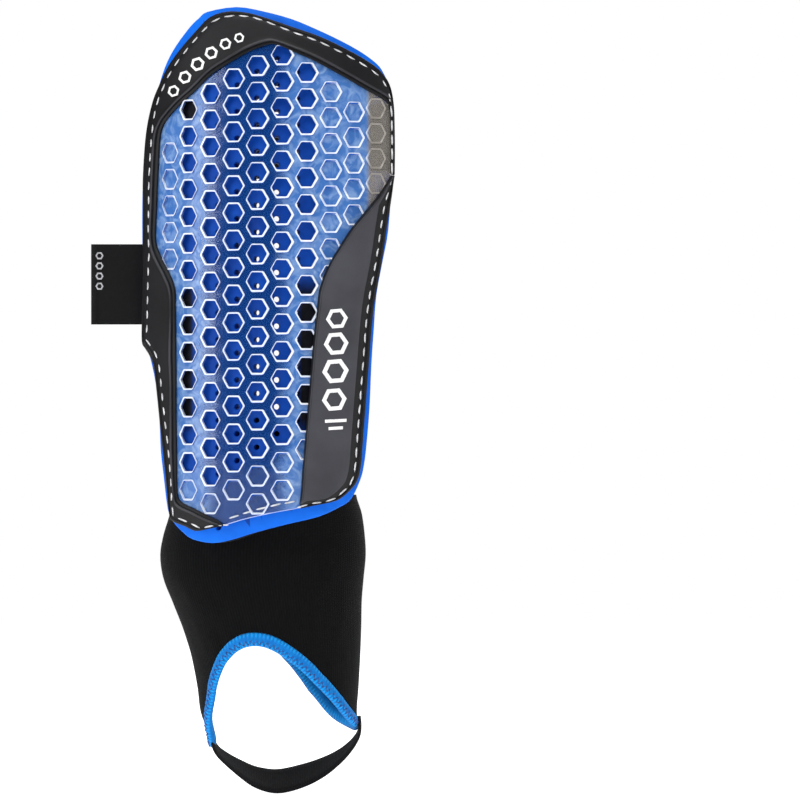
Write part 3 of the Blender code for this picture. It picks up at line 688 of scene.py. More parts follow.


def moulded_clear(name, ridge, side, cloud, ridge_cover, side_cover, roughness):
    """Clear polymer, injection moulded: a clear ridge, sides painted pale as a reflection, and walls
    with painted light.

    Walls that face up and left are painted pale as a highlight, and the opposite walls are painted
    dark as shade.
    """
    material, tree, shader, place = new_material(name, roughness=roughness, ior=1.55)
    x = add(tree, "SeparateXYZ", links={"Vector": place}).outputs["X"]
    away = maths(tree, "ABSOLUTE", maths(tree, "SUBTRACT", x, CLEAREST_X * MM))
    flow = add(tree, "TexNoise", {"Scale": 75, "Detail": 4.0}, {"Vector": place})
    spread = maths(tree, "MULTIPLY_ADD", flow.outputs["Fac"], FLOW_SPREAD * MM, away)
    share = remap(tree, spread, CLEAR_HALF * MM, PAINTED_REFLECTION_HALF * MM, curve="SMOOTHSTEP")
    at_edge = remap(tree, away, EDGE_FROM * MM, EDGE_TO * MM)
    cover = maths(tree, "MULTIPLY", remap(tree, share, 0.0, 1.0, ridge_cover, side_cover),
                  remap(tree, at_edge, 0.0, 1.0, 1.0, EDGE_COVER))
    tree.links.new(cover, shader.inputs["Alpha"])
    # The pale side colours, with a random drift between them, are a painted reflection.
    drift = add(tree, "TexNoise", {"Scale": 160, "Detail": 3.0, "Distortion": 1.5},
                {"Vector": place})
    painted_reflection_tone = colour_ramp(tree, drift.outputs["Fac"], side, cloud, 0.42, 0.66)
    # Painted light by the wall's direction: walls facing LIT_WAY get a near-white painted highlight, and
    # walls facing away a dark blue painted shade.
    facing = add(tree, "VectorMath", {"operation": "DOT_PRODUCT", 1: LIT_WAY},
                 {0: add(tree, "NewGeometry").outputs["Normal"]}).outputs["Value"]
    colour = mixed_colour(tree, share, ridge, painted_reflection_tone)
    colour = mixed_colour(tree, remap(tree, facing, 0.45, 0.85), colour, "#F6FAFF")
    colour = mixed_colour(tree, remap(tree, facing, -0.4, -0.85), colour, "#1C55B4")
    colour = mixed_colour(tree, at_edge, colour, "#A29C94")
    tree.links.new(colour, shader.inputs["Base Color"])
    ripple = add(tree, "TexNoise", {"Scale": 130, "Detail": 1.0}, {"Vector": place})
    bump(tree, shader, ripple.outputs["Fac"], 0.25, 0.4)
    return material


# Both finishes carry painted light: the web's pale sides are a painted reflection, and the rim finish is
# painted near white as a highlight.
clear_web_painted_reflection = moulded_clear("clear_polymer_web_painted_reflection", "#0B4188", "#4A80CC", "#8FB4E8", 0.50, 0.58, 0.14)
clear_rim_painted_highlight = moulded_clear("clear_polymer_rim_painted_highlight", "#E4ECFF", "#DCE6FA", "#FFFFFF", 0.90, 0.90, 0.18)

# %% [markdown]
# The finish of each face is chosen while the sheet is still flat, by its height: rim tops and cell
# walls get the rim finish, painted near white as a highlight. Then the sheet is bent. The walls
# stay nearly parallel, because a two-part mould has to pull straight off them.

# %% Shell piece
RIM_CLEARANCE, MOULD_TILT = 0.04, 0.3
for face in clear_sheet.faces:
    heights = [-vert.co.y for vert in face.verts]
    flat = max(heights) - min(heights) < RIM_CLEARANCE
    on_rim = min(heights) > SHELL_FACE + RIM_CLEARANCE * 4
    face.material_index = 1 if on_rim or (not flat and min(heights) < SHELL_FACE) else 0
lay_on_guard(clear_sheet, SHELL_FACE, MOULD_TILT)
finish_mesh("clear_honeycomb_shell", clear_sheet, [clear_web_painted_reflection, clear_rim_painted_highlight], "guard",
            ["clear_shell"], 30)

# %% [markdown]
# ## Overlay frame and side panel
#
# A black moulded overlay runs round the window, and a panel of the same black, its face painted
# charcoal as painted light, covers the lower right side.
# Both are strips: they have an outer edge and an inner edge, and between the two runs a profile
# with a rounded lip, a groove for the stitches and a raised face. Each row of the tables below is
# one station, with the outer and the inner point that face each other.

# %% Overlay stations
FRAME_STATIONS = [
    ((-16, -105.3), (-16.4, -104.5)), ((-22, -106.6), (-18.4, -103)),
    ((-27.3, -107.5), (-21.5, -101.6)), ((-32, -105.6), (-28, -98.4)),
    ((-37, -103.6), (-34, -95.4)), ((-38.4, -100.4), (-35.6, -91.6)), ((-40, -85), (-35.8, -82)),
    ((-41.7, -69.3), (-35.9, -72)), ((-43.7, -49.6), (-36.1, -56)), ((-45.1, -38.4), (-36.1, -44)),
    ((-47, -33.8), (-36.2, -32)), ((-48.7, -31.1), (-36.3, -22)), ((-50.2, -28), (-36.4, -13)),
    ((-50.2, -18), (-36.7, -5.5)), ((-50.1, -8), (-39, 0.6)), ((-49.9, 5), (-43, 8.5)),
    ((-49.8, 18), (-45, 15)), ((-49.8, 30), (-44.6, 28)), ((-49.8, 42), (-44, 42)),
    ((-48.5, 60), (-43.2, 57)), ((-45.8, 72.7), (-41.8, 63)), ((-42.7, 80.5), (-39, 67)),
    ((-39.2, 87.8), (-34, 72.2)), ((-34, 95), (-28, 77.3)), ((-27.3, 102.6), (-21.4, 83.8)),
    ((-21.4, 108.4), (-13.4, 89)), ((-14.3, 110.5), (-5, 93.7)), ((-7, 110), (2.5, 96.4)),
    ((-0.8, 108.4), (6.5, 96.3)), ((12.2, 103.9), (14, 93.2)), ((24.8, 99.5), (23.3, 89)),
    ((37.8, 93.2), (34.6, 82.9)), ((46.2, 88.2), (43.5, 77.9)), ((50.4, 84.2), (49.2, 74.9)),
    ((53.2, 79), (52.4, 72.6)), ((54.5, 71), (53.5, 69)), ((54.8, 62), (53.9, 61)),
    ((54.9, 52), (54, 52)), ((54.8, 42), (53.9, 43))]
PANEL_STATIONS = [
    ((54.75, 41.7), (53.9, 41.8)), ((53.9, 34), (49, 34)), ((53.1, 28), (44, 27.6)),
    ((51.7, 19), (37, 18.8)), ((50.6, 11), (32, 11)), ((49.3, 3), (27.5, 3)),
    ((47.2, -8.4), (24.2, -6)), ((46, -17), (23, -15)), ((45.2, -26), (21.9, -24)),
    ((44.3, -38), (20.8, -36)), ((42.9, -56), (19.2, -56)), ((41.7, -72), (17.8, -73)),
    ((41.1, -80), (17.1, -81)), ((39.5, -86.6), (16.7, -86.5)), ((36, -91), (16.5, -90)),
    ((32, -94.2), (16.3, -92)), ((27.7, -95.6), (16.2, -93)), ((22, -96.7), (16.1, -94)),
    ((16.2, -97.9), (16, -95.2))]
STITCH_INSET, OVERLAY_BASE, FACE_CUTS = 2.0, 9.95, 6
# each profile row is (distance from that edge, height, material number)
FRAME_OUTER = [
    (0, 9.95, 0), (0, 11.1, 0), (0.25, 11.55, 0), (0.7, 11.8, 0), (1.25, 11.8, 0), (1.5, 11.4, 0),
    (2.45, 11.4, 0), (2.7, 11.8, 0), (3.0, 11.9, 0)]
FRAME_INNER = [
    (2.6, 11.9, 0), (2.1, 11.95, 1), (1.75, 12.15, 1), (1.45, 12.15, 1), (1.15, 11.9, 0),
    (1.05, 10.9, 0), (0.3, 10.8, 0), (0, 10.6, 0), (0, 9.95, 0)]
PANEL_OUTER = [
    (0, 9.95, 0), (0, 11.1, 0), (0.25, 11.55, 0), (0.7, 11.8, 0), (1.25, 11.8, 0), (1.5, 11.35, 0),
    (2.45, 11.35, 0), (2.7, 11.75, 0), (5.3, 12.1, 2), (5.9, 12.5, 2)]
PANEL_INNER = [
    (1.6, 12.5, 2), (1.1, 12.6, 1), (0.75, 12.55, 1), (0.4, 12.2, 0), (0.15, 11.6, 0),
    (0, 11.0, 0), (0, 9.95, 0)]


def strip_rings(stations, outer_rows, inner_rows, steps):
    """The strip's cross-sections, the materials along one of them, and its stitch line."""
    outer = smooth([o for o, _ in stations], steps)
    inner = smooth([i for _, i in stations], steps)
    rings, line = [], []
    for start, end in zip(outer, inner):
        width = (end - start).length
        need = outer_rows[-1][0] + inner_rows[0][0] + 0.5
        squeeze = min(1.0, width / need)
        along = (end - start) / width
        rows = [(d * squeeze, h) for d, h, _ in outer_rows]
        first, last = rows[-1], (width - inner_rows[0][0] * squeeze, inner_rows[0][1])
        for k in range(1, FACE_CUTS):
            share = k / FACE_CUTS
            rows.append((first[0] + (last[0] - first[0]) * share,
                         first[1] + (last[1] - first[1]) * share))
        rows += [(width - d * squeeze, h) for d, h, _ in inner_rows]
        front = [on_guard(*(start + along * d), h, OVERLAY_BASE) for d, h in rows]
        back = [on_guard(*(start.lerp(end, k / FACE_CUTS)), OVERLAY_BASE)
                for k in range(FACE_CUTS - 1, 0, -1)]
        rings.append(front + back)
        line.append(start + along * STITCH_INSET * squeeze)
    face = [outer_rows[-1][2]] * (FACE_CUTS - 1)
    marks = [m for _, _, m in outer_rows] + face + [m for _, _, m in inner_rows]
    return rings, marks + [0] * (FACE_CUTS - 1), line


# %% [markdown]
# Moulded TPU overlays come out of a spark-eroded mould, so they have a fine grain of about 0.2 mm
# and a satin shine. The raised lines are a little shinier and painted lighter as a highlight, and
# the panel's face is painted a lighter charcoal as the light that falls on it, with a few pale scuffs.

# %% Overlay materials


def moulded_tpu(name, dark, light, low, high, scuffs=0.0):
    """Injection-moulded TPU from an eroded mould: satin, with a fine grain and light wear."""
    material, tree, shader, place = new_material(name, roughness=low, ior=1.5,
                                                 specular_ior_level=0.22)
    rough_range(tree, shader, tint(tree, shader, place, dark, light, 45, 8.0), low, high)
    grain = add(tree, "TexNoise", {"Scale": 3800, "Detail": 2.0}, {"Vector": place})
    wear = add(tree, "TexNoise", {"Scale": 120, "Detail": 10.0, "Roughness": 0.75},
               {"Vector": place})
    height = maths(tree, "MULTIPLY_ADD", wear.outputs["Fac"], scuffs, grain.outputs["Fac"])
    bump(tree, shader, height, 0.06, 0.45)
    return material


black_tpu = moulded_tpu("black_tpu_overlay", "#0C0C0E", "#141417", 0.38, 0.52, 0.6)
# Painted highlight: the raised ridge's lighter grey.
ridge_tpu_painted_highlight = moulded_tpu("tpu_ridge_painted_highlight", "#252528", "#3A3A3F", 0.32, 0.45)
# Painted light: the panel face's charcoal is its black, painted lighter where it faces the light.
panel_face_tpu_painted_light = moulded_tpu("tpu_panel_face_painted_light", "#36363B", "#434349", 0.42, 0.58, 0.8)

# %% [markdown]
# Each strip is one loft. Every segment of its profile has a material number, so the ridge with its
# painted highlight and the face with its painted light are part of the same mesh.

# %% Overlay pieces
frame_rings, frame_marks, frame_line = strip_rings(FRAME_STATIONS, FRAME_OUTER, FRAME_INNER, 5)
finish_mesh("overlay_frame_skin", loft(frame_rings, marks=frame_marks),
            [black_tpu, ridge_tpu_painted_highlight, black_tpu], "guard", ["overlay_frame"], 40)
panel_rings, panel_marks, panel_line = strip_rings(PANEL_STATIONS, PANEL_OUTER, PANEL_INNER, 5)
finish_mesh("side_panel_skin", loft(panel_rings, marks=panel_marks),
            [black_tpu, ridge_tpu_painted_highlight, panel_face_tpu_painted_light], "guard", ["side_panel"], 40)

# %% [markdown]
# ## Edge stitching
#
# A lockstitch sews the overlay, the shell and the foam together. Each stitch is a short length
# of twisted thread that dips into the material at both ends. The seam follows the groove of the
# frame, runs down the panel and crosses the clear toe of the shell.

# %% Stitches
STITCH_PITCH, STITCH_LENGTH, STITCH_SAG, THREAD_RADIUS = 6.0, 4.3, 0.7, 0.36
GROOVE_THREAD, TOE_THREAD = 11.75, 10.0          # how high the thread lies
TOE_STITCHES = [(13, -95.2), (6, -96.5), (-1.7, -98.4), (-9, -100.6), (-14.5, -102.6)]
seam = frame_line + panel_line + [Vector(p) for p in smooth(TOE_STITCHES, 4)]


def stitch_height(x, z):
    """How high the thread lies: in the overlay's groove, or on the clear toe."""
    return TOE_THREAD if -17 < x < 15 and z < -90 else GROOVE_THREAD


def thread_radius(share):
    """The thread is thick in the middle of a stitch and pulled thin at its needle holes."""
    return THREAD_RADIUS * MM * (0.55 + 0.45 * math.sin(math.pi * share) ** 0.4)


def add_stitch(bm, centre, along, length):
    """One stitch: a capsule that bows up from its two needle holes."""
    path = []
    for k in range(9):
        share = k / 8
        place = centre + along * length * (share - 0.5)
        rise = STITCH_SAG * (math.sin(math.pi * share) ** 0.5 - 1)
        path.append(on_guard(place.x, place.y, stitch_height(place.x, place.y) + rise))
    loops = [[bm.verts.new(p) for p in ring] for ring in tube(path, thread_radius, 8)]
    for first, second in zip(loops, loops[1:]):
        wall(bm, first, second)
    bm.faces.new(loops[0])
    bm.faces.new(loops[-1][::-1])


def twisted_thread(name, dark, light):
    """Bonded polyester thread: two plies twisted once every 1.2 mm, with a silky shine."""
    material, tree, shader, place = new_material(name, roughness=0.5, sheen_weight=0.2)
    tint(tree, shader, place, dark, light, 500)
    ply = add(tree, "TexWave", {"wave_type": "BANDS", "bands_direction": "DIAGONAL", "Scale": 260,
                                "Distortion": 0.0}, {"Vector": place})
    rough_range(tree, shader, ply.outputs["Fac"], 0.42, 0.6)
    bump(tree, shader, ply.outputs["Fac"], 0.12, 0.8)
    return material


grey_thread = twisted_thread("bonded_grey_thread", "#A9A9AC", "#DEDEE0")
stitches = bmesh.new()
for place, along in even_points(seam, STITCH_PITCH, closed=True):
    lean = random.uniform(-0.05, 0.05)
    turned = Vector((along.x - along.y * lean, along.y + along.x * lean))
    add_stitch(stitches, place, turned, STITCH_LENGTH * random.uniform(0.95, 1.05))
finish_mesh("edge_stitches", stitches, grey_thread, "guard", ["edge_stitching"], 60)

# %% [markdown]
# ## Printed marks
#
# Thin pad-printed marks in white ink lie on the overlay and on the panel. They are plain
# hexagons and bars. Real ink is about 0.05 mm thick, so each mark is a flat shape that stands
# just proud of the face under it.

# %% Printed marks
FRAME_MARKS = [(-37.5, 77.5, 2.6), (-32.6, 83.2, 2.9), (-27.2, 88.6, 3.1), (-21.4, 93.2, 2.9),
               (-15.4, 96.9, 2.6), (-9.6, 99.4, 2.2)]           # x, z and radius
PANEL_MARKS = [(31.5, -18.5, 4.6), (31.2, -29.0, 5.2), (30.9, -40.5, 5.6), (30.4, -52.4, 5.2)]
PANEL_BARS = [(31.0, -61.5, 9.0, 1.3), (31.0, -64.6, 6.0, 1.3)]    # x, z, length and width
TAB_MARKS = [(-69.4, 8.5, 1.7), (-69.4, 4.2, 1.7), (-69.4, -0.1, 1.7), (-69.4, -4.4, 1.7)]
INK, FRAME_INK_AT, PANEL_INK_AT, BAR_SLANT = 0.08, 11.98, 12.56, 0.4


def print_shape(bm, place, outer, inner=None):
    """A thin flat solid, with an opening if inner is given. place turns (x, z, rise) to a point."""
    levels = [(outer, 0), (outer, INK)] + ([(inner, INK), (inner, 0)] if inner else [])
    rows = [[bm.verts.new(place(*p, rise)) for p in loop] for loop, rise in levels]
    for first, second in zip(rows, rows[1:] + (rows[:1] if inner else [])):
        wall(bm, first, second)
    if not inner:
        bm.faces.new(rows[0][::-1])
        bm.faces.new(rows[1])


def hexagon(x, z, radius, turn=0.0):
    """Corners of a small hexagon."""
    angles = [math.radians(60 * k + turn) for k in range(6)]
    return [(x + radius * math.cos(a), z + radius * math.sin(a)) for a in angles]


def printed_ink(name, dark, light):
    """Pad-printed ink: nearly white, thin at a few specks where the grain shows through."""
    material, tree, shader, place = new_material(name, roughness=0.5, ior=1.5)
    drift = tint(tree, shader, place, dark, light, 1400, 6.0)
    rough_range(tree, shader, drift, 0.45, 0.65)
    bump(tree, shader, drift, 0.03, 0.5)
    return material


white_ink = printed_ink("white_pad_print_ink", "#D9D9D9", "#F4F4F4")
grey_ink = printed_ink("grey_woven_mark", "#8E8E92", "#B4B4B8")
marks = bmesh.new()
for x, z, radius in FRAME_MARKS:
    print_shape(marks, lambda px, pz, rise: on_guard(px, pz, FRAME_INK_AT + rise),
                hexagon(x, z, radius, 15), hexagon(x, z, radius * 0.62, 15))
finish_mesh("frame_print", marks, white_ink, "guard")


def on_panel(x, z, rise):
    """A place in the panel's print."""
    return on_guard(x, z, PANEL_INK_AT + rise)


marks = bmesh.new()
for x, z, radius in PANEL_MARKS:
    print_shape(marks, on_panel, hexagon(x, z, radius, 5), hexagon(x, z, radius * 0.64, 5))
for x, z, length, width in PANEL_BARS:
    left, right, low, high = x - length / 2, x + length / 2, z - width / 2, z + width / 2
    print_shape(marks, on_panel, [(left, low), (right, low + BAR_SLANT),
                                  (right, high + BAR_SLANT), (left, high)])
finish_mesh("panel_print", marks, white_ink, "guard")

# %% [markdown]
# ## Elastic strap and its closure
#
# The calf strap is woven elastic, 28 mm wide. Its ends are sewn between the foam and the shell.
# One end carries a patch of loop pile, and the other a patch of hooks that fastens on it. The
# strap crosses two bending places, so it is made in three lengths. The first two are given the
# span of one bend each, which is not used, so they stay fixed in place; the last rides on its body
# as a whole, and the cut ends meet inside a straight stretch.

# %% Strap shapes
STRAP_WIDTH, STRAP_THICK, STRAP_Z = 28.0, 1.6, 57.7
STRAP_SEWN_THICK, SEWN_HEIGHT, THICKENS_OVER = 0.28, 7.58, 4.0   # where the shell presses on it
PATCH_WIDTH, PATCH_THICK, STRAP_GAP, PLAN_STEP = 25.0, 1.0, 0.15, 1.5
SIDE_ROUTE = [(54.2, 9.6), (54.3, 20), (53.4, 34), (50.3, 48), (45.2, 60), (38.3, 70.5)]
BACK_ROUTE = [(35.5, 74), (25, 81), (12, 85.5), (-1, 86.8), (-12, 85.3)]
LOOP_ROUTE = [
    (-48.6, 21.5), (-48.9, 32), (-48.2, 41), (-45.5, 50.5), (-40.3, 59), (-34.8, 65.6),
    (-27.8, 71.5), (-20.3, 75.8)]
CLOSURE_FROM = 4                         # the closure starts at this point of the loop route
EDGE_SLANT, SLANT_FROM_X, SLANT_FULL_X = 0.13, 12.0, -48.0


def sewn_end(xs):
    """Plan points where a strap's end lies between the foam and the shell."""
    return [(x, (on_guard(x, 0, SEWN_HEIGHT) / MM).y) for x in xs]


def shift_route(route, distance):
    """Shift a plan route sideways, away from the leg for a positive distance."""
    shifted = []
    for i, point in enumerate(route):
        along = (route[min(i + 1, len(route) - 1)] - route[max(i - 1, 0)]).normalized()
        shifted.append(point + distance * Vector((-along.y, along.x)))
    return shifted


def strap_place(place, z):
    """A point of the strap in metres: it slants and leans with the guard's edge."""
    share = min(max((SLANT_FROM_X - place.x) / (SLANT_FROM_X - SLANT_FULL_X), 0.0), 1.0)
    lean = guard_depth(RIDGE_X, z)[0] - guard_depth(RIDGE_X, STRAP_Z)[0]
    return Vector((place.x + EDGE_SLANT * (z - STRAP_Z) * share, place.y + lean, z)) * MM


def band(route, width, thickness):
    """A solid band on edge along a plan route, with rounded selvedges. thickness may vary."""
    rings = []
    for i, (point, along) in enumerate(route):
        thick = thickness(point, i) if callable(thickness) else thickness
        side = Vector((-along.y, along.x))
        ring = []
        for face in (1, -1):
            for k in range(13):
                share = k / 12 * 2 - 1
                edge = max((1 - abs(share) ** 10) ** 0.5, 0.18)
                ring.append(strap_place(point + side * face * thick / 2 * edge,
                                        STRAP_Z + face * share * width / 2))
        rings.append(ring)
    return rings


side_tail = sewn_end((45.5, 48.0, 50.5, 52.3))
loop_tail = sewn_end((-41.5, -43.5, -45.5, -47.2))
side_route = smooth(side_tail + SIDE_ROUTE, 8)
loop_route = smooth(loop_tail + LOOP_ROUTE, 6)
closure_route = smooth(LOOP_ROUTE, 6)[6 * CLOSURE_FROM:]
pile_shift = STRAP_THICK / 2 + STRAP_GAP + PATCH_THICK / 2
hook_shift = pile_shift + PATCH_THICK + STRAP_GAP
strap_shift = hook_shift + PATCH_THICK / 2 + STRAP_GAP + STRAP_THICK / 2
strap_end = shift_route(closure_route, strap_shift)[::-1]
whole_route = side_route[:-1] + smooth([SIDE_ROUTE[-1]] + BACK_ROUTE + strap_end[::6], 8)
stations = even_points(whole_route, PLAN_STEP)
first_cut = next(i for i, (p, _) in enumerate(stations) if p.y > 46)
second_cut = next(i for i, (p, _) in enumerate(stations) if p.y > 60 and p.x < 8)
print(f"strap: {len(stations)} stations, cut at {first_cut} and {second_cut}")


def sewn_thickness(edge_y):
    """Pressed thin under the shell, and growing to full behind the plan line y = edge_y."""
    def thickness(point, _):
        share = max(0.0, min(1.0, (point.y - edge_y) / THICKENS_OVER))
        return STRAP_SEWN_THICK + (STRAP_THICK - STRAP_SEWN_THICK) * share
    return thickness


# %% [markdown]
# Woven elastic has fine ridges along its length, made by the covered rubber threads, and the
# filling yarn crosses them. Two wave textures give that: one across the width at 1.1 mm and one
# along the length at 0.6 mm.

# %% Elastic, pile and hook materials


def stripes(tree, source, pitch_mm):
    """A value from 0 to 1 that repeats at this pitch."""
    turns = maths(tree, "MULTIPLY", source, 2 * math.pi / (pitch_mm * MM))
    return remap(tree, maths(tree, "SINE", turns), -1.0, 1.0)


def ribbed_fabric(name, dark, light, along_mm, across_mm, depth_mm, roughness, sheen):
    """Woven or knitted yarn: ridges at two pitches, a matt face and a short nap."""
    material, tree, shader, place = new_material(name, roughness=roughness, sheen_weight=sheen,
                                                 sheen_roughness=0.45, specular_ior_level=0.15)
    sheet = add(tree, "SeparateXYZ", links={"Vector": add(tree, "TexCoord").outputs["UV"]})
    weave = maths(tree, "MULTIPLY", stripes(tree, sheet.outputs["Y"], across_mm),
                  stripes(tree, sheet.outputs["X"], along_mm))
    fuzz = add(tree, "TexNoise", {"Scale": 260, "Detail": 8.0}, {"Vector": place}).outputs["Fac"]
    height = maths(tree, "MULTIPLY_ADD", fuzz, 0.6, weave)
    tree.links.new(colour_ramp(tree, height, dark, light, 0.15, 1.0), shader.inputs["Base Color"])
    rough_range(tree, shader, fuzz, roughness - 0.08, roughness + 0.1)
    bump(tree, shader, height, depth_mm, 0.8)
    return material


def fibre_pile(name, dark, light, size, depth_mm, roughness):
    """Short fibres or hooks: a dense field of small cells."""
    material, tree, shader, place = new_material(name, roughness=roughness, sheen_weight=0.1,
                                                 specular_ior_level=0.2)
    tint(tree, shader, place, dark, light, 700)
    cells = add(tree, "TexVoronoi", {"Scale": size}, {"Vector": place})
    rough_range(tree, shader, cells.outputs["Distance"], roughness - 0.15, roughness + 0.05)
    bump(tree, shader, cells.outputs["Distance"], depth_mm, 0.9)
    return material


black_elastic = ribbed_fabric("woven_elastic_black", "#050506", "#151518", 0.6, 1.1, 0.15,
                              0.85, 0.08)
pile_fabric = fibre_pile("nylon_loop_pile", "#0B0B0D", "#1B1B1F", 1800, 0.35, 0.9)
hook_sheet = fibre_pile("nylon_hook_tape", "#101013", "#222226", 900, 0.3, 0.6)
tab_rubber = moulded_tpu("moulded_rubber_tab", "#0F0F11", "#1A1A1D", 0.45, 0.6, 0.5)

# %% [markdown]
# The lengths of the strap follow the same stations, so they meet without a step. The closure is
# two thin patches, and the finger tab has moulded ribs for grip.

# %% Strap pieces
SIDE_BEND_Y, BACK_BEND_Y = (9, 18), (66, 76)     # the plan lines that bound each bend's span, passed on but not used
SIDE_EDGE_Y, LOOP_EDGE_Y = 8.5, 19.5             # the guard's two edges, where the strap comes out


def lay_band(name, rows, width, thickness, material, body, stands_for):
    """A band piece along these stations."""
    mesh = loft(band(rows, width, thickness))
    return finish_mesh(name, mesh, material, body, stands_for, 50)


def bend_between(first, second, rows, lines):
    """The bodies and the span between two plan lines that finish_mesh takes for a piece that crosses a
    joint, and doesn't use.
    """
    start, end = (next(p for p, _ in rows if p.y > line) for line in lines)
    return (first, second, strap_place(start, STRAP_Z), strap_place(end, STRAP_Z))


def plan_length(rows):
    """The length in metres of a band's route."""
    return sum((b[0] - a[0]).length for a, b in zip(rows, rows[1:])) * MM


length_one = stations[:first_cut + 1]
length_two = stations[first_cut:second_cut + 1]
length_three = stations[second_cut:]
loop_length = even_points(loop_route, PLAN_STEP)
for name, rows, thickness, body, stands_for in (
        ("calf_strap_sewn_length", length_one, sewn_thickness(SIDE_EDGE_Y),
         bend_between("guard", "strap_side", length_one, SIDE_BEND_Y),
         ["strap_anchor_right", "strap_side"]),
        ("calf_strap_side_length", length_two, STRAP_THICK,
         bend_between("strap_side", "strap_back", length_two, BACK_BEND_Y), []),
        ("calf_strap_back_length", length_three, STRAP_THICK, "strap_back", ["strap_back"]),
        ("loop_side_strap", loop_length, sewn_thickness(LOOP_EDGE_Y), "guard",
         ["loop_strap", "strap_anchor_left"])):
    piece = lay_band(name, rows, STRAP_WIDTH, thickness, black_elastic, body, stands_for)
    print(f"{name}: {plan_length(rows) * 1000:.0f} mm long")
for name, shift, material, body, node, slot in (
        ("loop_pile_patch", pile_shift, pile_fabric, "guard", "loop_patch", "loop_pile"),
        ("hook_tape_patch", hook_shift, hook_sheet, "strap_back", "hook_patch", "hook_tape")):
    lay_band(name, even_points(shift_route(closure_route, shift), PLAN_STEP), PATCH_WIDTH,
             PATCH_THICK, material, body, [node])

GRIP_RIB, GRIP_THICK, GRIP_WIDTH, GRIP_STEP = 2.2, 2.0, 22.0, 0.4
last, before = length_three[-1][0], length_three[-2][0]
outward = (last - before).normalized()
grip_rows = [(last + outward * (0.2 + GRIP_STEP * k), outward) for k in range(24)]


def ribbed_thickness(_, i):
    """Grip ribs across the pull tab."""
    return GRIP_THICK * (1 - 0.28 * (0.5 + 0.5 * math.cos(2 * math.pi * i * GRIP_STEP / GRIP_RIB)))


lay_band("pull_tab_grip", grip_rows, GRIP_WIDTH, ribbed_thickness, tab_rubber, "strap_back",
         ["pull_tab"])

# %% [markdown]
# ## Side tab
#
# A woven satin label is folded double, and its two ends are sewn into the left edge. The fold at
# the outer end keeps a small round loop, so the tab is thicker there than at the seam.

# %% Side tab
TAB_ROOT, TAB_END, TAB_LOW, TAB_HIGH = -50.9, -72.8, -20.6, 13.4
TAB_Y, TAB_SHEET, TAB_INK_AT = 21.1, 0.42, 1.15


def tab_centre(walk):
    """The label's middle surface in plan, from one sewn end (0) round the fold to the other (1)."""
    share = 1 - abs(2 * walk - 1)
    face = 1 if walk < 0.5 else -1
    gap = 0.3 + 0.12 * share + 0.3 * math.exp(-((share - 0.93) / 0.05) ** 2)
    gap *= math.sqrt(max(0.0, 1 - max(0.0, (share - 0.965) / 0.035) ** 2))
    return Vector((TAB_ROOT + (TAB_END - TAB_ROOT) * share, TAB_Y - face * gap))


walks = [k / 30 * 0.475 for k in range(30)] + [0.475 + 0.05 * k / 12 for k in range(13)]
walks += [0.525 + 0.475 * k / 30 for k in range(1, 31)]
tab_rings = []
for walk in walks:
    point = tab_centre(walk)
    along = (tab_centre(min(walk + 0.002, 1.0)) - tab_centre(max(walk - 0.002, 0.0))).normalized()
    side = Vector((along.y, -along.x)) * TAB_SHEET / 2
    loop = []
    for face in (1, -1):
        for k in range(17):
            z = TAB_LOW + (TAB_HIGH - TAB_LOW) * (k / 16 if face > 0 else 1 - k / 16)
            sway = 0.5 * math.sin((point.x - TAB_ROOT) * 0.14) * math.sin((z - TAB_LOW) * 0.09)
            place = point + side * face
            loop.append(Vector((place.x, place.y + sway, z)) * MM)
    tab_rings.append(loop)
satin = ribbed_fabric("woven_satin_label", "#020203", "#08080A", 0.5, 0.5, 0.06, 0.6, 0.04)
tab = finish_mesh("side_tab_label", loft(tab_rings), satin, "side_tab", ["side_tab"],
                  50)
marks = bmesh.new()
for x, z, radius in TAB_MARKS:
    print_shape(marks, lambda px, pz, rise: Vector((px, TAB_Y - TAB_INK_AT - rise, pz)) * MM,
                hexagon(x, z, radius), hexagon(x, z, radius * 0.6))
finish_mesh("tab_print", marks, grey_ink, "side_tab")

# %% [markdown]
# ## Ankle sleeve
#
# The sleeve is a tube of stretch rib knit, pulled to shape by the ankle pads inside it. Its hem
# runs in two arches, over the instep and over the heel, and drops to two low points where the
# stirrup hangs. The tube is lofted from one vertical strip per step round the ankle. Small
# folds break the even surface in front and behind, and fade at the flanks, where it is taut.

# %% Sleeve shape
SLEEVE_Y, SLEEVE_WALL, SLEEVE_TOP = 37.0, 1.5, -93.0
FOLDS = [(0.8, 2.2, 0.035, 0), (0.35, 6, 0.12, 4)]     # size, number round, per mm of height, start
SLEEVE_SECTIONS = [
    (-93, -39.5, 39.2, 32, 25), (-100.8, -40.3, 41.6, 31.2, 25), (-110.5, -43.1, 42.9, 30.2, 25),
    (-118.9, -44.4, 43.3, 30, 25), (-128.5, -43.1, 42.4, 29.5, 25), (-138.2, -39.3, 41.6, 29, 25),
    (-149.1, -35, 41.4, 28, 25), (-160.9, -31.3, 41, 27.5, 25), (-174.7, -28.6, 40.3, 27, 25),
    (-187, -26.8, 39.6, 26, 24), (-200, -21, 41.5, 24, 23)]
HEM = [
    (0, -187.5), (18, -184.5), (35, -178.5), (56, -168), (72, -159), (88, -152.3), (102, -150.6),
    (116, -153.2), (131, -160), (145, -171), (162, -187.5), (180, -195), (200, -184), (217, -165),
    (232, -154), (250, -148), (268, -151), (284, -162), (299, -174), (318, -184), (340, -187.5)]


def eased(rows, key):
    """Values on a smooth curve through a table whose first column is the key."""
    for i in range(len(rows) - 1):
        low, high = rows[i], rows[i + 1]
        if min(low[0], high[0]) <= key <= max(low[0], high[0]):
            before, after = rows[max(i - 1, 0)], rows[min(i + 2, len(rows) - 1)]
            t = (key - low[0]) / (high[0] - low[0])
            return [catmull_rom(*values, t)
                    for values in zip(before[1:], low[1:], high[1:], after[1:])]
    return list(min(rows, key=lambda row: abs(row[0] - key))[1:])


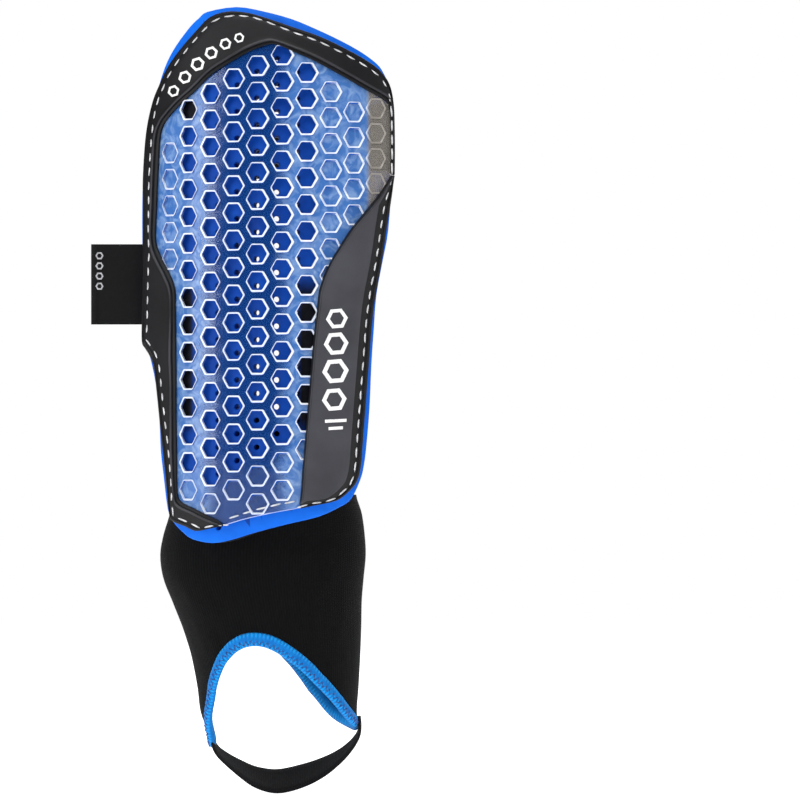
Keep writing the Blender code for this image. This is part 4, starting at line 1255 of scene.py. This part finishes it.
def on_sleeve(angle, z, inset=0.0):
    """A point on the sleeve in mm: angle 0 is its right side, 90 the front, 180 the left."""
    left, right, front, back = eased(SLEEVE_SECTIONS, max(z, SLEEVE_SECTIONS[-1][0]))
    turn = math.radians(angle)
    fold = sum(size * soft_noise.noise(Vector((count * math.cos(turn), count * math.sin(turn),
                                               z * rise + start)))
               for size, count, rise, start in FOLDS)
    fold *= 1 - abs(math.cos(turn)) ** 4
    reach = (right - left) / 2 - inset + fold
    depth = (front if math.sin(turn) > 0 else back) - inset + fold
    return Vector(((left + right) / 2 + reach * math.cos(turn),
                   SLEEVE_Y - depth * math.sin(turn), z))


def hem_at(angle):
    """The height of the hem at this angle."""
    rows = [(a - 360, z) for a, z in HEM] + HEM + [(a + 360, z) for a, z in HEM]
    return eased(rows, angle % 360)[0]


SLEEVE_STEPS, SLEEVE_ROWS = 200, 44
sleeve_rings = []
for step in range(SLEEVE_STEPS):
    angle = 360 * step / SLEEVE_STEPS
    low = hem_at(angle)
    heights = [SLEEVE_TOP + (low - SLEEVE_TOP) * r / SLEEVE_ROWS for r in range(SLEEVE_ROWS + 1)]
    outside = [on_sleeve(angle, z) * MM for z in heights]
    inside = [on_sleeve(angle, z, SLEEVE_WALL) * MM for z in heights[::-1]]
    sleeve_rings.append(outside + inside)
print("sleeve:", len(sleeve_rings), "vertical strips")

# %% [markdown]
# Rib knit shows fine vertical wales about 1.2 mm apart, and each wale is a chain of small
# stitches. On black yarn the ribs are only seen as faint grey lines, so the colour varies little
# and the bump does the work.

# %% Sleeve pieces
black_knit = ribbed_fabric("black_rib_knit", "#010101", "#08080A", 1.25, 0.9, 0.22, 0.95, 0.03)
sleeve = finish_mesh("ankle_sleeve_knit", loft(sleeve_rings, closed=True), black_knit, "sleeve",
                     ["ankle_sleeve"], 60)

# %% [markdown]
# ## Hem binding
#
# A ribbed azure tape is folded over the raw hem and sewn down with an overlock stitch in dark
# blue. The tape is a flat oval in section, 6 mm high, and its cross ribs are 1.5 mm apart.

# %% Hem binding
BINDING_HALF_HEIGHT, BINDING_HALF_THICK, BINDING_DROP, BINDING_RIB = 2.9, 1.75, 3.0, 1.5
HEM_STEPS, HEM_MIDDLE_X = 420, 6
hem_path, walked = [], 0.0                       # the hem, and the way gone along it
for step in range(HEM_STEPS):
    angle = 360 * step / HEM_STEPS
    ahead = on_sleeve(angle + 1.5, hem_at(angle + 1.5))
    behind = on_sleeve(angle - 1.5, hem_at(angle - 1.5))
    point = on_sleeve(angle, hem_at(angle), SLEEVE_WALL / 2)
    along = (ahead - behind).normalized()
    radial = Vector((point.x - HEM_MIDDLE_X, point.y - SLEEVE_Y, 0)).normalized()
    down = radial.cross(along).normalized()
    down = -down if down.z > 0 else down
    thickwise = along.cross(down).normalized()
    thickwise = -thickwise if thickwise.dot(radial) < 0 else thickwise
    middle = point + down * BINDING_DROP
    walked += (middle - hem_path[-1][0]).length if hem_path else 0.0
    hem_path.append((middle, down, thickwise, walked))
print(f"hem: {walked:.0f} mm round")


binding_rings = []
for point, down, thickwise, walked in hem_path:
    thick = BINDING_HALF_THICK * (1 + 0.05 * math.sin(2 * math.pi * walked / BINDING_RIB))
    turns = [2 * math.pi * k / 16 for k in range(16)]
    binding_rings.append([(point + down * BINDING_HALF_HEIGHT * math.cos(t)
                           + thickwise * thick * math.sin(t)) * MM for t in turns])
azure_tape = ribbed_fabric("azure_ribbed_binding_tape", "#0563B4", "#0F93E0", 1.5, 5.0, 0.35,
                           0.7, 0.08)
finish_mesh("hem_binding_tape", loft(binding_rings, closed=True), azure_tape, "sleeve",
            ["hem_binding"], 60)

OVERLOCK_PITCH, OVERLOCK_RADIUS, OVERLOCK_ANGLES = 2.4, 0.26, (82, 38)
zigzag = []
for point, down, thickwise, walked in hem_path:
    if walked >= len(zigzag) * OVERLOCK_PITCH / 2:
        angle = math.radians(OVERLOCK_ANGLES[len(zigzag) % 2])
        zigzag.append((point + down * (BINDING_HALF_HEIGHT + 0.1) * math.cos(angle)
                       + thickwise * (BINDING_HALF_THICK + 0.15) * math.sin(angle)) * MM)
rings = tube(zigzag, lambda share: OVERLOCK_RADIUS * MM, 6, closed=True, up=Vector((0, 0, 1)))
dark_thread = twisted_thread("overlock_thread_dark_blue", "#05286E", "#0B4096")
finish_mesh("hem_overlock_stitch", loft(rings, closed=True), dark_thread, "sleeve",
            sharp=60)

# %% [markdown]
# ## Ankle pads and yoke
#
# Two round foam pads sit inside the sleeve over the ankle bones. Each is a dome that follows the
# sleeve's bend. A yoke of the same knit is sewn behind the guard's lining and holds the sleeve.

# %% Ankle pads
PAD_RADIUS, PAD_THICK, PAD_Z, PAD_CLEARANCE, PAD_WALL_RADIUS = 25.0, 6.5, -127.0, 1.0, 29.0


def pad_mesh(middle):
    """A domed round pad against the sleeve's inner face."""
    def place(radius, turn, face):
        swing = math.degrees(radius * math.cos(turn) / PAD_WALL_RADIUS)
        crown = (1 - (radius / PAD_RADIUS) ** 4) ** 0.5 if radius < PAD_RADIUS else 0.0
        depth = SLEEVE_WALL + PAD_CLEARANCE + 1.0 + (PAD_THICK - 1.0) * crown * face
        return on_sleeve(middle + swing, PAD_Z + radius * math.sin(turn), depth) * MM
    bm = bmesh.new()
    sides, rows = 48, 10
    for face in (0, 1):
        loops = [[bm.verts.new(place(PAD_RADIUS * (r / rows), 2 * math.pi * k / sides, face))
                  for k in range(sides)] for r in range(1, rows + 1)]
        centre = bm.verts.new(place(0.0, 0.0, face))
        for k in range(sides):
            n = (k + 1) % sides
            bm.faces.new((centre, loops[0][k], loops[0][n]))
            for first, second in zip(loops, loops[1:]):
                bm.faces.new((first[k], second[k], second[n], first[n]))
    bmesh.ops.remove_doubles(bm, verts=bm.verts[:], dist=0.00002)
    return bm


pad_cover = brushed_knit("brushed_pad_cover", "#0C0C0E", "#1C1C20")
for side, middle in (("left", 180), ("right", 0)):
    pad = finish_mesh("ankle_pad_cover_" + side, pad_mesh(middle), pad_cover, "sleeve",
                      ["ankle_pad_" + side], 60)

# %% [markdown]
# The yoke is a flat sheet of the sleeve's knit, laid against the lining. It follows the guard's
# curve. Its low corners slope in, so that they stay clear when the sleeve swings back.

# %% Yoke
YOKE_LEFT, YOKE_RIGHT, YOKE_LOW, YOKE_HIGH = -30.0, 33.0, -92.2, -58.0
YOKE_TAPER, YOKE_TAPER_FROM = 12.0, -76.0
YOKE_FRONT, YOKE_BACK = -0.25, -1.3              # heights of its two faces
yoke_rings = []
for i in range(37):
    z = YOKE_LOW + (YOKE_HIGH - YOKE_LOW) * i / 36
    narrow = YOKE_TAPER * max(0.0, YOKE_TAPER_FROM - z) / (YOKE_TAPER_FROM - YOKE_LOW)
    left, right = YOKE_LEFT + narrow, YOKE_RIGHT - narrow
    xs = [left + (right - left) * k / 30 for k in range(31)]
    yoke_rings.append([on_guard(x, z, YOKE_FRONT, 0.0) for x in xs]
                      + [on_guard(x, z, YOKE_BACK, 0.0) for x in xs[::-1]])
yoke = finish_mesh("sleeve_yoke_knit", loft(yoke_rings), black_knit, "guard", ["sleeve_yoke"],
                   50)

# %% [markdown]
# ## Stirrup
#
# A soft elastic band hangs from the hem's two low points and passes under the foot. It is 20 mm
# wide in the middle, narrower where it is sewn in, and turned so that its flat side faces down
# and forward. It crosses its joint near both ends and is given a bend span there that is not used,
# so it stays fixed in place.

# %% Stirrup
STIRRUP_ROUTE = [
    (-22.6, -192.5), (-22.3, -197), (-20.5, -201.5), (-17, -205), (-10, -210), (-3, -213.7),
    (6, -215.2), (17, -212.7), (26, -208.8), (33, -204), (38, -198.8), (40.6, -193.8),
    (40.4, -187.5)]
STIRRUP_WIDTH, STIRRUP_END, STIRRUP_THICK, STIRRUP_TILT = 20.0, 10.0, 1.6, 27.0
STIRRUP_BEND = [Vector((0, SLEEVE_Y, z)) * MM for z in (-191.5, -203.0)]
stirrup_stations = even_points(smooth(STIRRUP_ROUTE, 8), 1.0)
stirrup_rings = []
for i, (point, along) in enumerate(stirrup_stations):
    share = math.sin(math.pi * i / (len(stirrup_stations) - 1))
    width = STIRRUP_END + (STIRRUP_WIDTH - STIRRUP_END) * share ** 0.6
    tilt = math.radians(STIRRUP_TILT) * share
    lie = Vector((0, math.cos(tilt), math.sin(tilt)))
    normal = Vector((along.x, 0, along.y)).cross(lie).normalized()
    loop = []
    for face in (1, -1):
        for k in range(11):
            reach = k / 10 * 2 - 1
            edge = max((1 - abs(reach) ** 8) ** 0.5, 0.25)
            loop.append((Vector((point.x, SLEEVE_Y, point.y)) + lie * face * reach * width / 2
                         + normal * face * STIRRUP_THICK / 2 * edge) * MM)
    stirrup_rings.append(loop)
soft_elastic = ribbed_fabric("soft_stirrup_elastic", "#020203", "#0C0C0E", 0.8, 1.0, 0.15,
                             0.9, 0.04)
stirrup = finish_mesh("stirrup_band", loft(stirrup_rings), soft_elastic,
                      ("sleeve", "stirrup", *STIRRUP_BEND),
                      ["stirrup"], 50)

# %% [markdown]
# ## Studio
#
# Big soft lights stand round the guard: one above, which makes the lower walls of the cells glow,
# two at the sides, which the cloudy parts of the shell reflect, and one behind. The front stays
# darker, so the clear ridge shows the blue.

# %% Lights
FLOOR_GAP, WORLD_STRENGTH, FLOOR_GLOW = 0.8 * MM, 0.16, 0.85
# name, place and size in metres, and power in watts
SOFTBOXES = [("top_light", (0.0, -0.6, 1.1), (1.2, 0.8), 14),
             ("left_light", (-1.1, -0.8, 0.25), (0.5, 1.2), 9),
             ("right_light", (1.3, -0.4, 0.2), (0.4, 1.2), 4),
             ("back_light", (0.2, 1.2, 0.7), (1.2, 0.8), 8)]
centre = Vector((0, 0, -0.05))
for name, place, size, power in SOFTBOXES:
    data = bpy.data.lights.new(name, "AREA")
    data.shape = "RECTANGLE"
    data.size, data.size_y = size
    data.energy = power
    lamp = bpy.data.objects.new(name, data)
    lamp.location = place
    lamp.rotation_euler = (centre - Vector(place)).to_track_quat("-Z", "Y").to_euler()
    bpy.context.collection.objects.link(lamp)
    print(f"{name}: {power} W")

# %% [markdown]
# The world lights the scene only weakly, and the camera sees plain white behind the object. The
# floor glows a little, so it looks as pale as the backdrop and still takes a soft shadow.

# %% Backdrop and floor
world = bpy.data.worlds.new("studio_world")
world.use_nodes = True
bpy.context.scene.world = world
world_tree = world.node_tree
lit = world_tree.nodes["Background"]
lit.inputs["Color"].default_value = linear("#F2F5FA")
lit.inputs["Strength"].default_value = WORLD_STRENGTH
backdrop = add(world_tree, "Background", {"Color": (1, 1, 1, 1), "Strength": 1.0})
seen = add(world_tree, "LightPath").outputs["Is Camera Ray"]
chosen = add(world_tree, "MixShader", links={0: seen, 1: lit.outputs[0], 2: backdrop.outputs[0]})
world_tree.links.new(chosen.outputs[0], world_tree.nodes["World Output"].inputs["Surface"])

floor_material, floor_tree, floor_shader, floor_place = new_material(
    "pale_floor", roughness=0.7, emission_color=linear("#FFFFFF"), emission_strength=FLOOR_GLOW,
    specular_ior_level=0.0)
tint(floor_tree, floor_shader, floor_place, "#F3F3F3", "#F8F8F8", 3)
floor_mesh = bmesh.new()
bmesh.ops.create_grid(floor_mesh, x_segments=1, y_segments=1, size=1.6)
mesh = bpy.data.meshes.new("studio_floor")
floor_mesh.to_mesh(mesh)
floor_mesh.free()
mesh.materials.append(floor_material)
floor = bpy.data.objects.new("studio_floor", mesh)
floor.location = (0, 0.3, cad_box[0][2] - FLOOR_GAP)
bpy.context.collection.objects.link(floor)
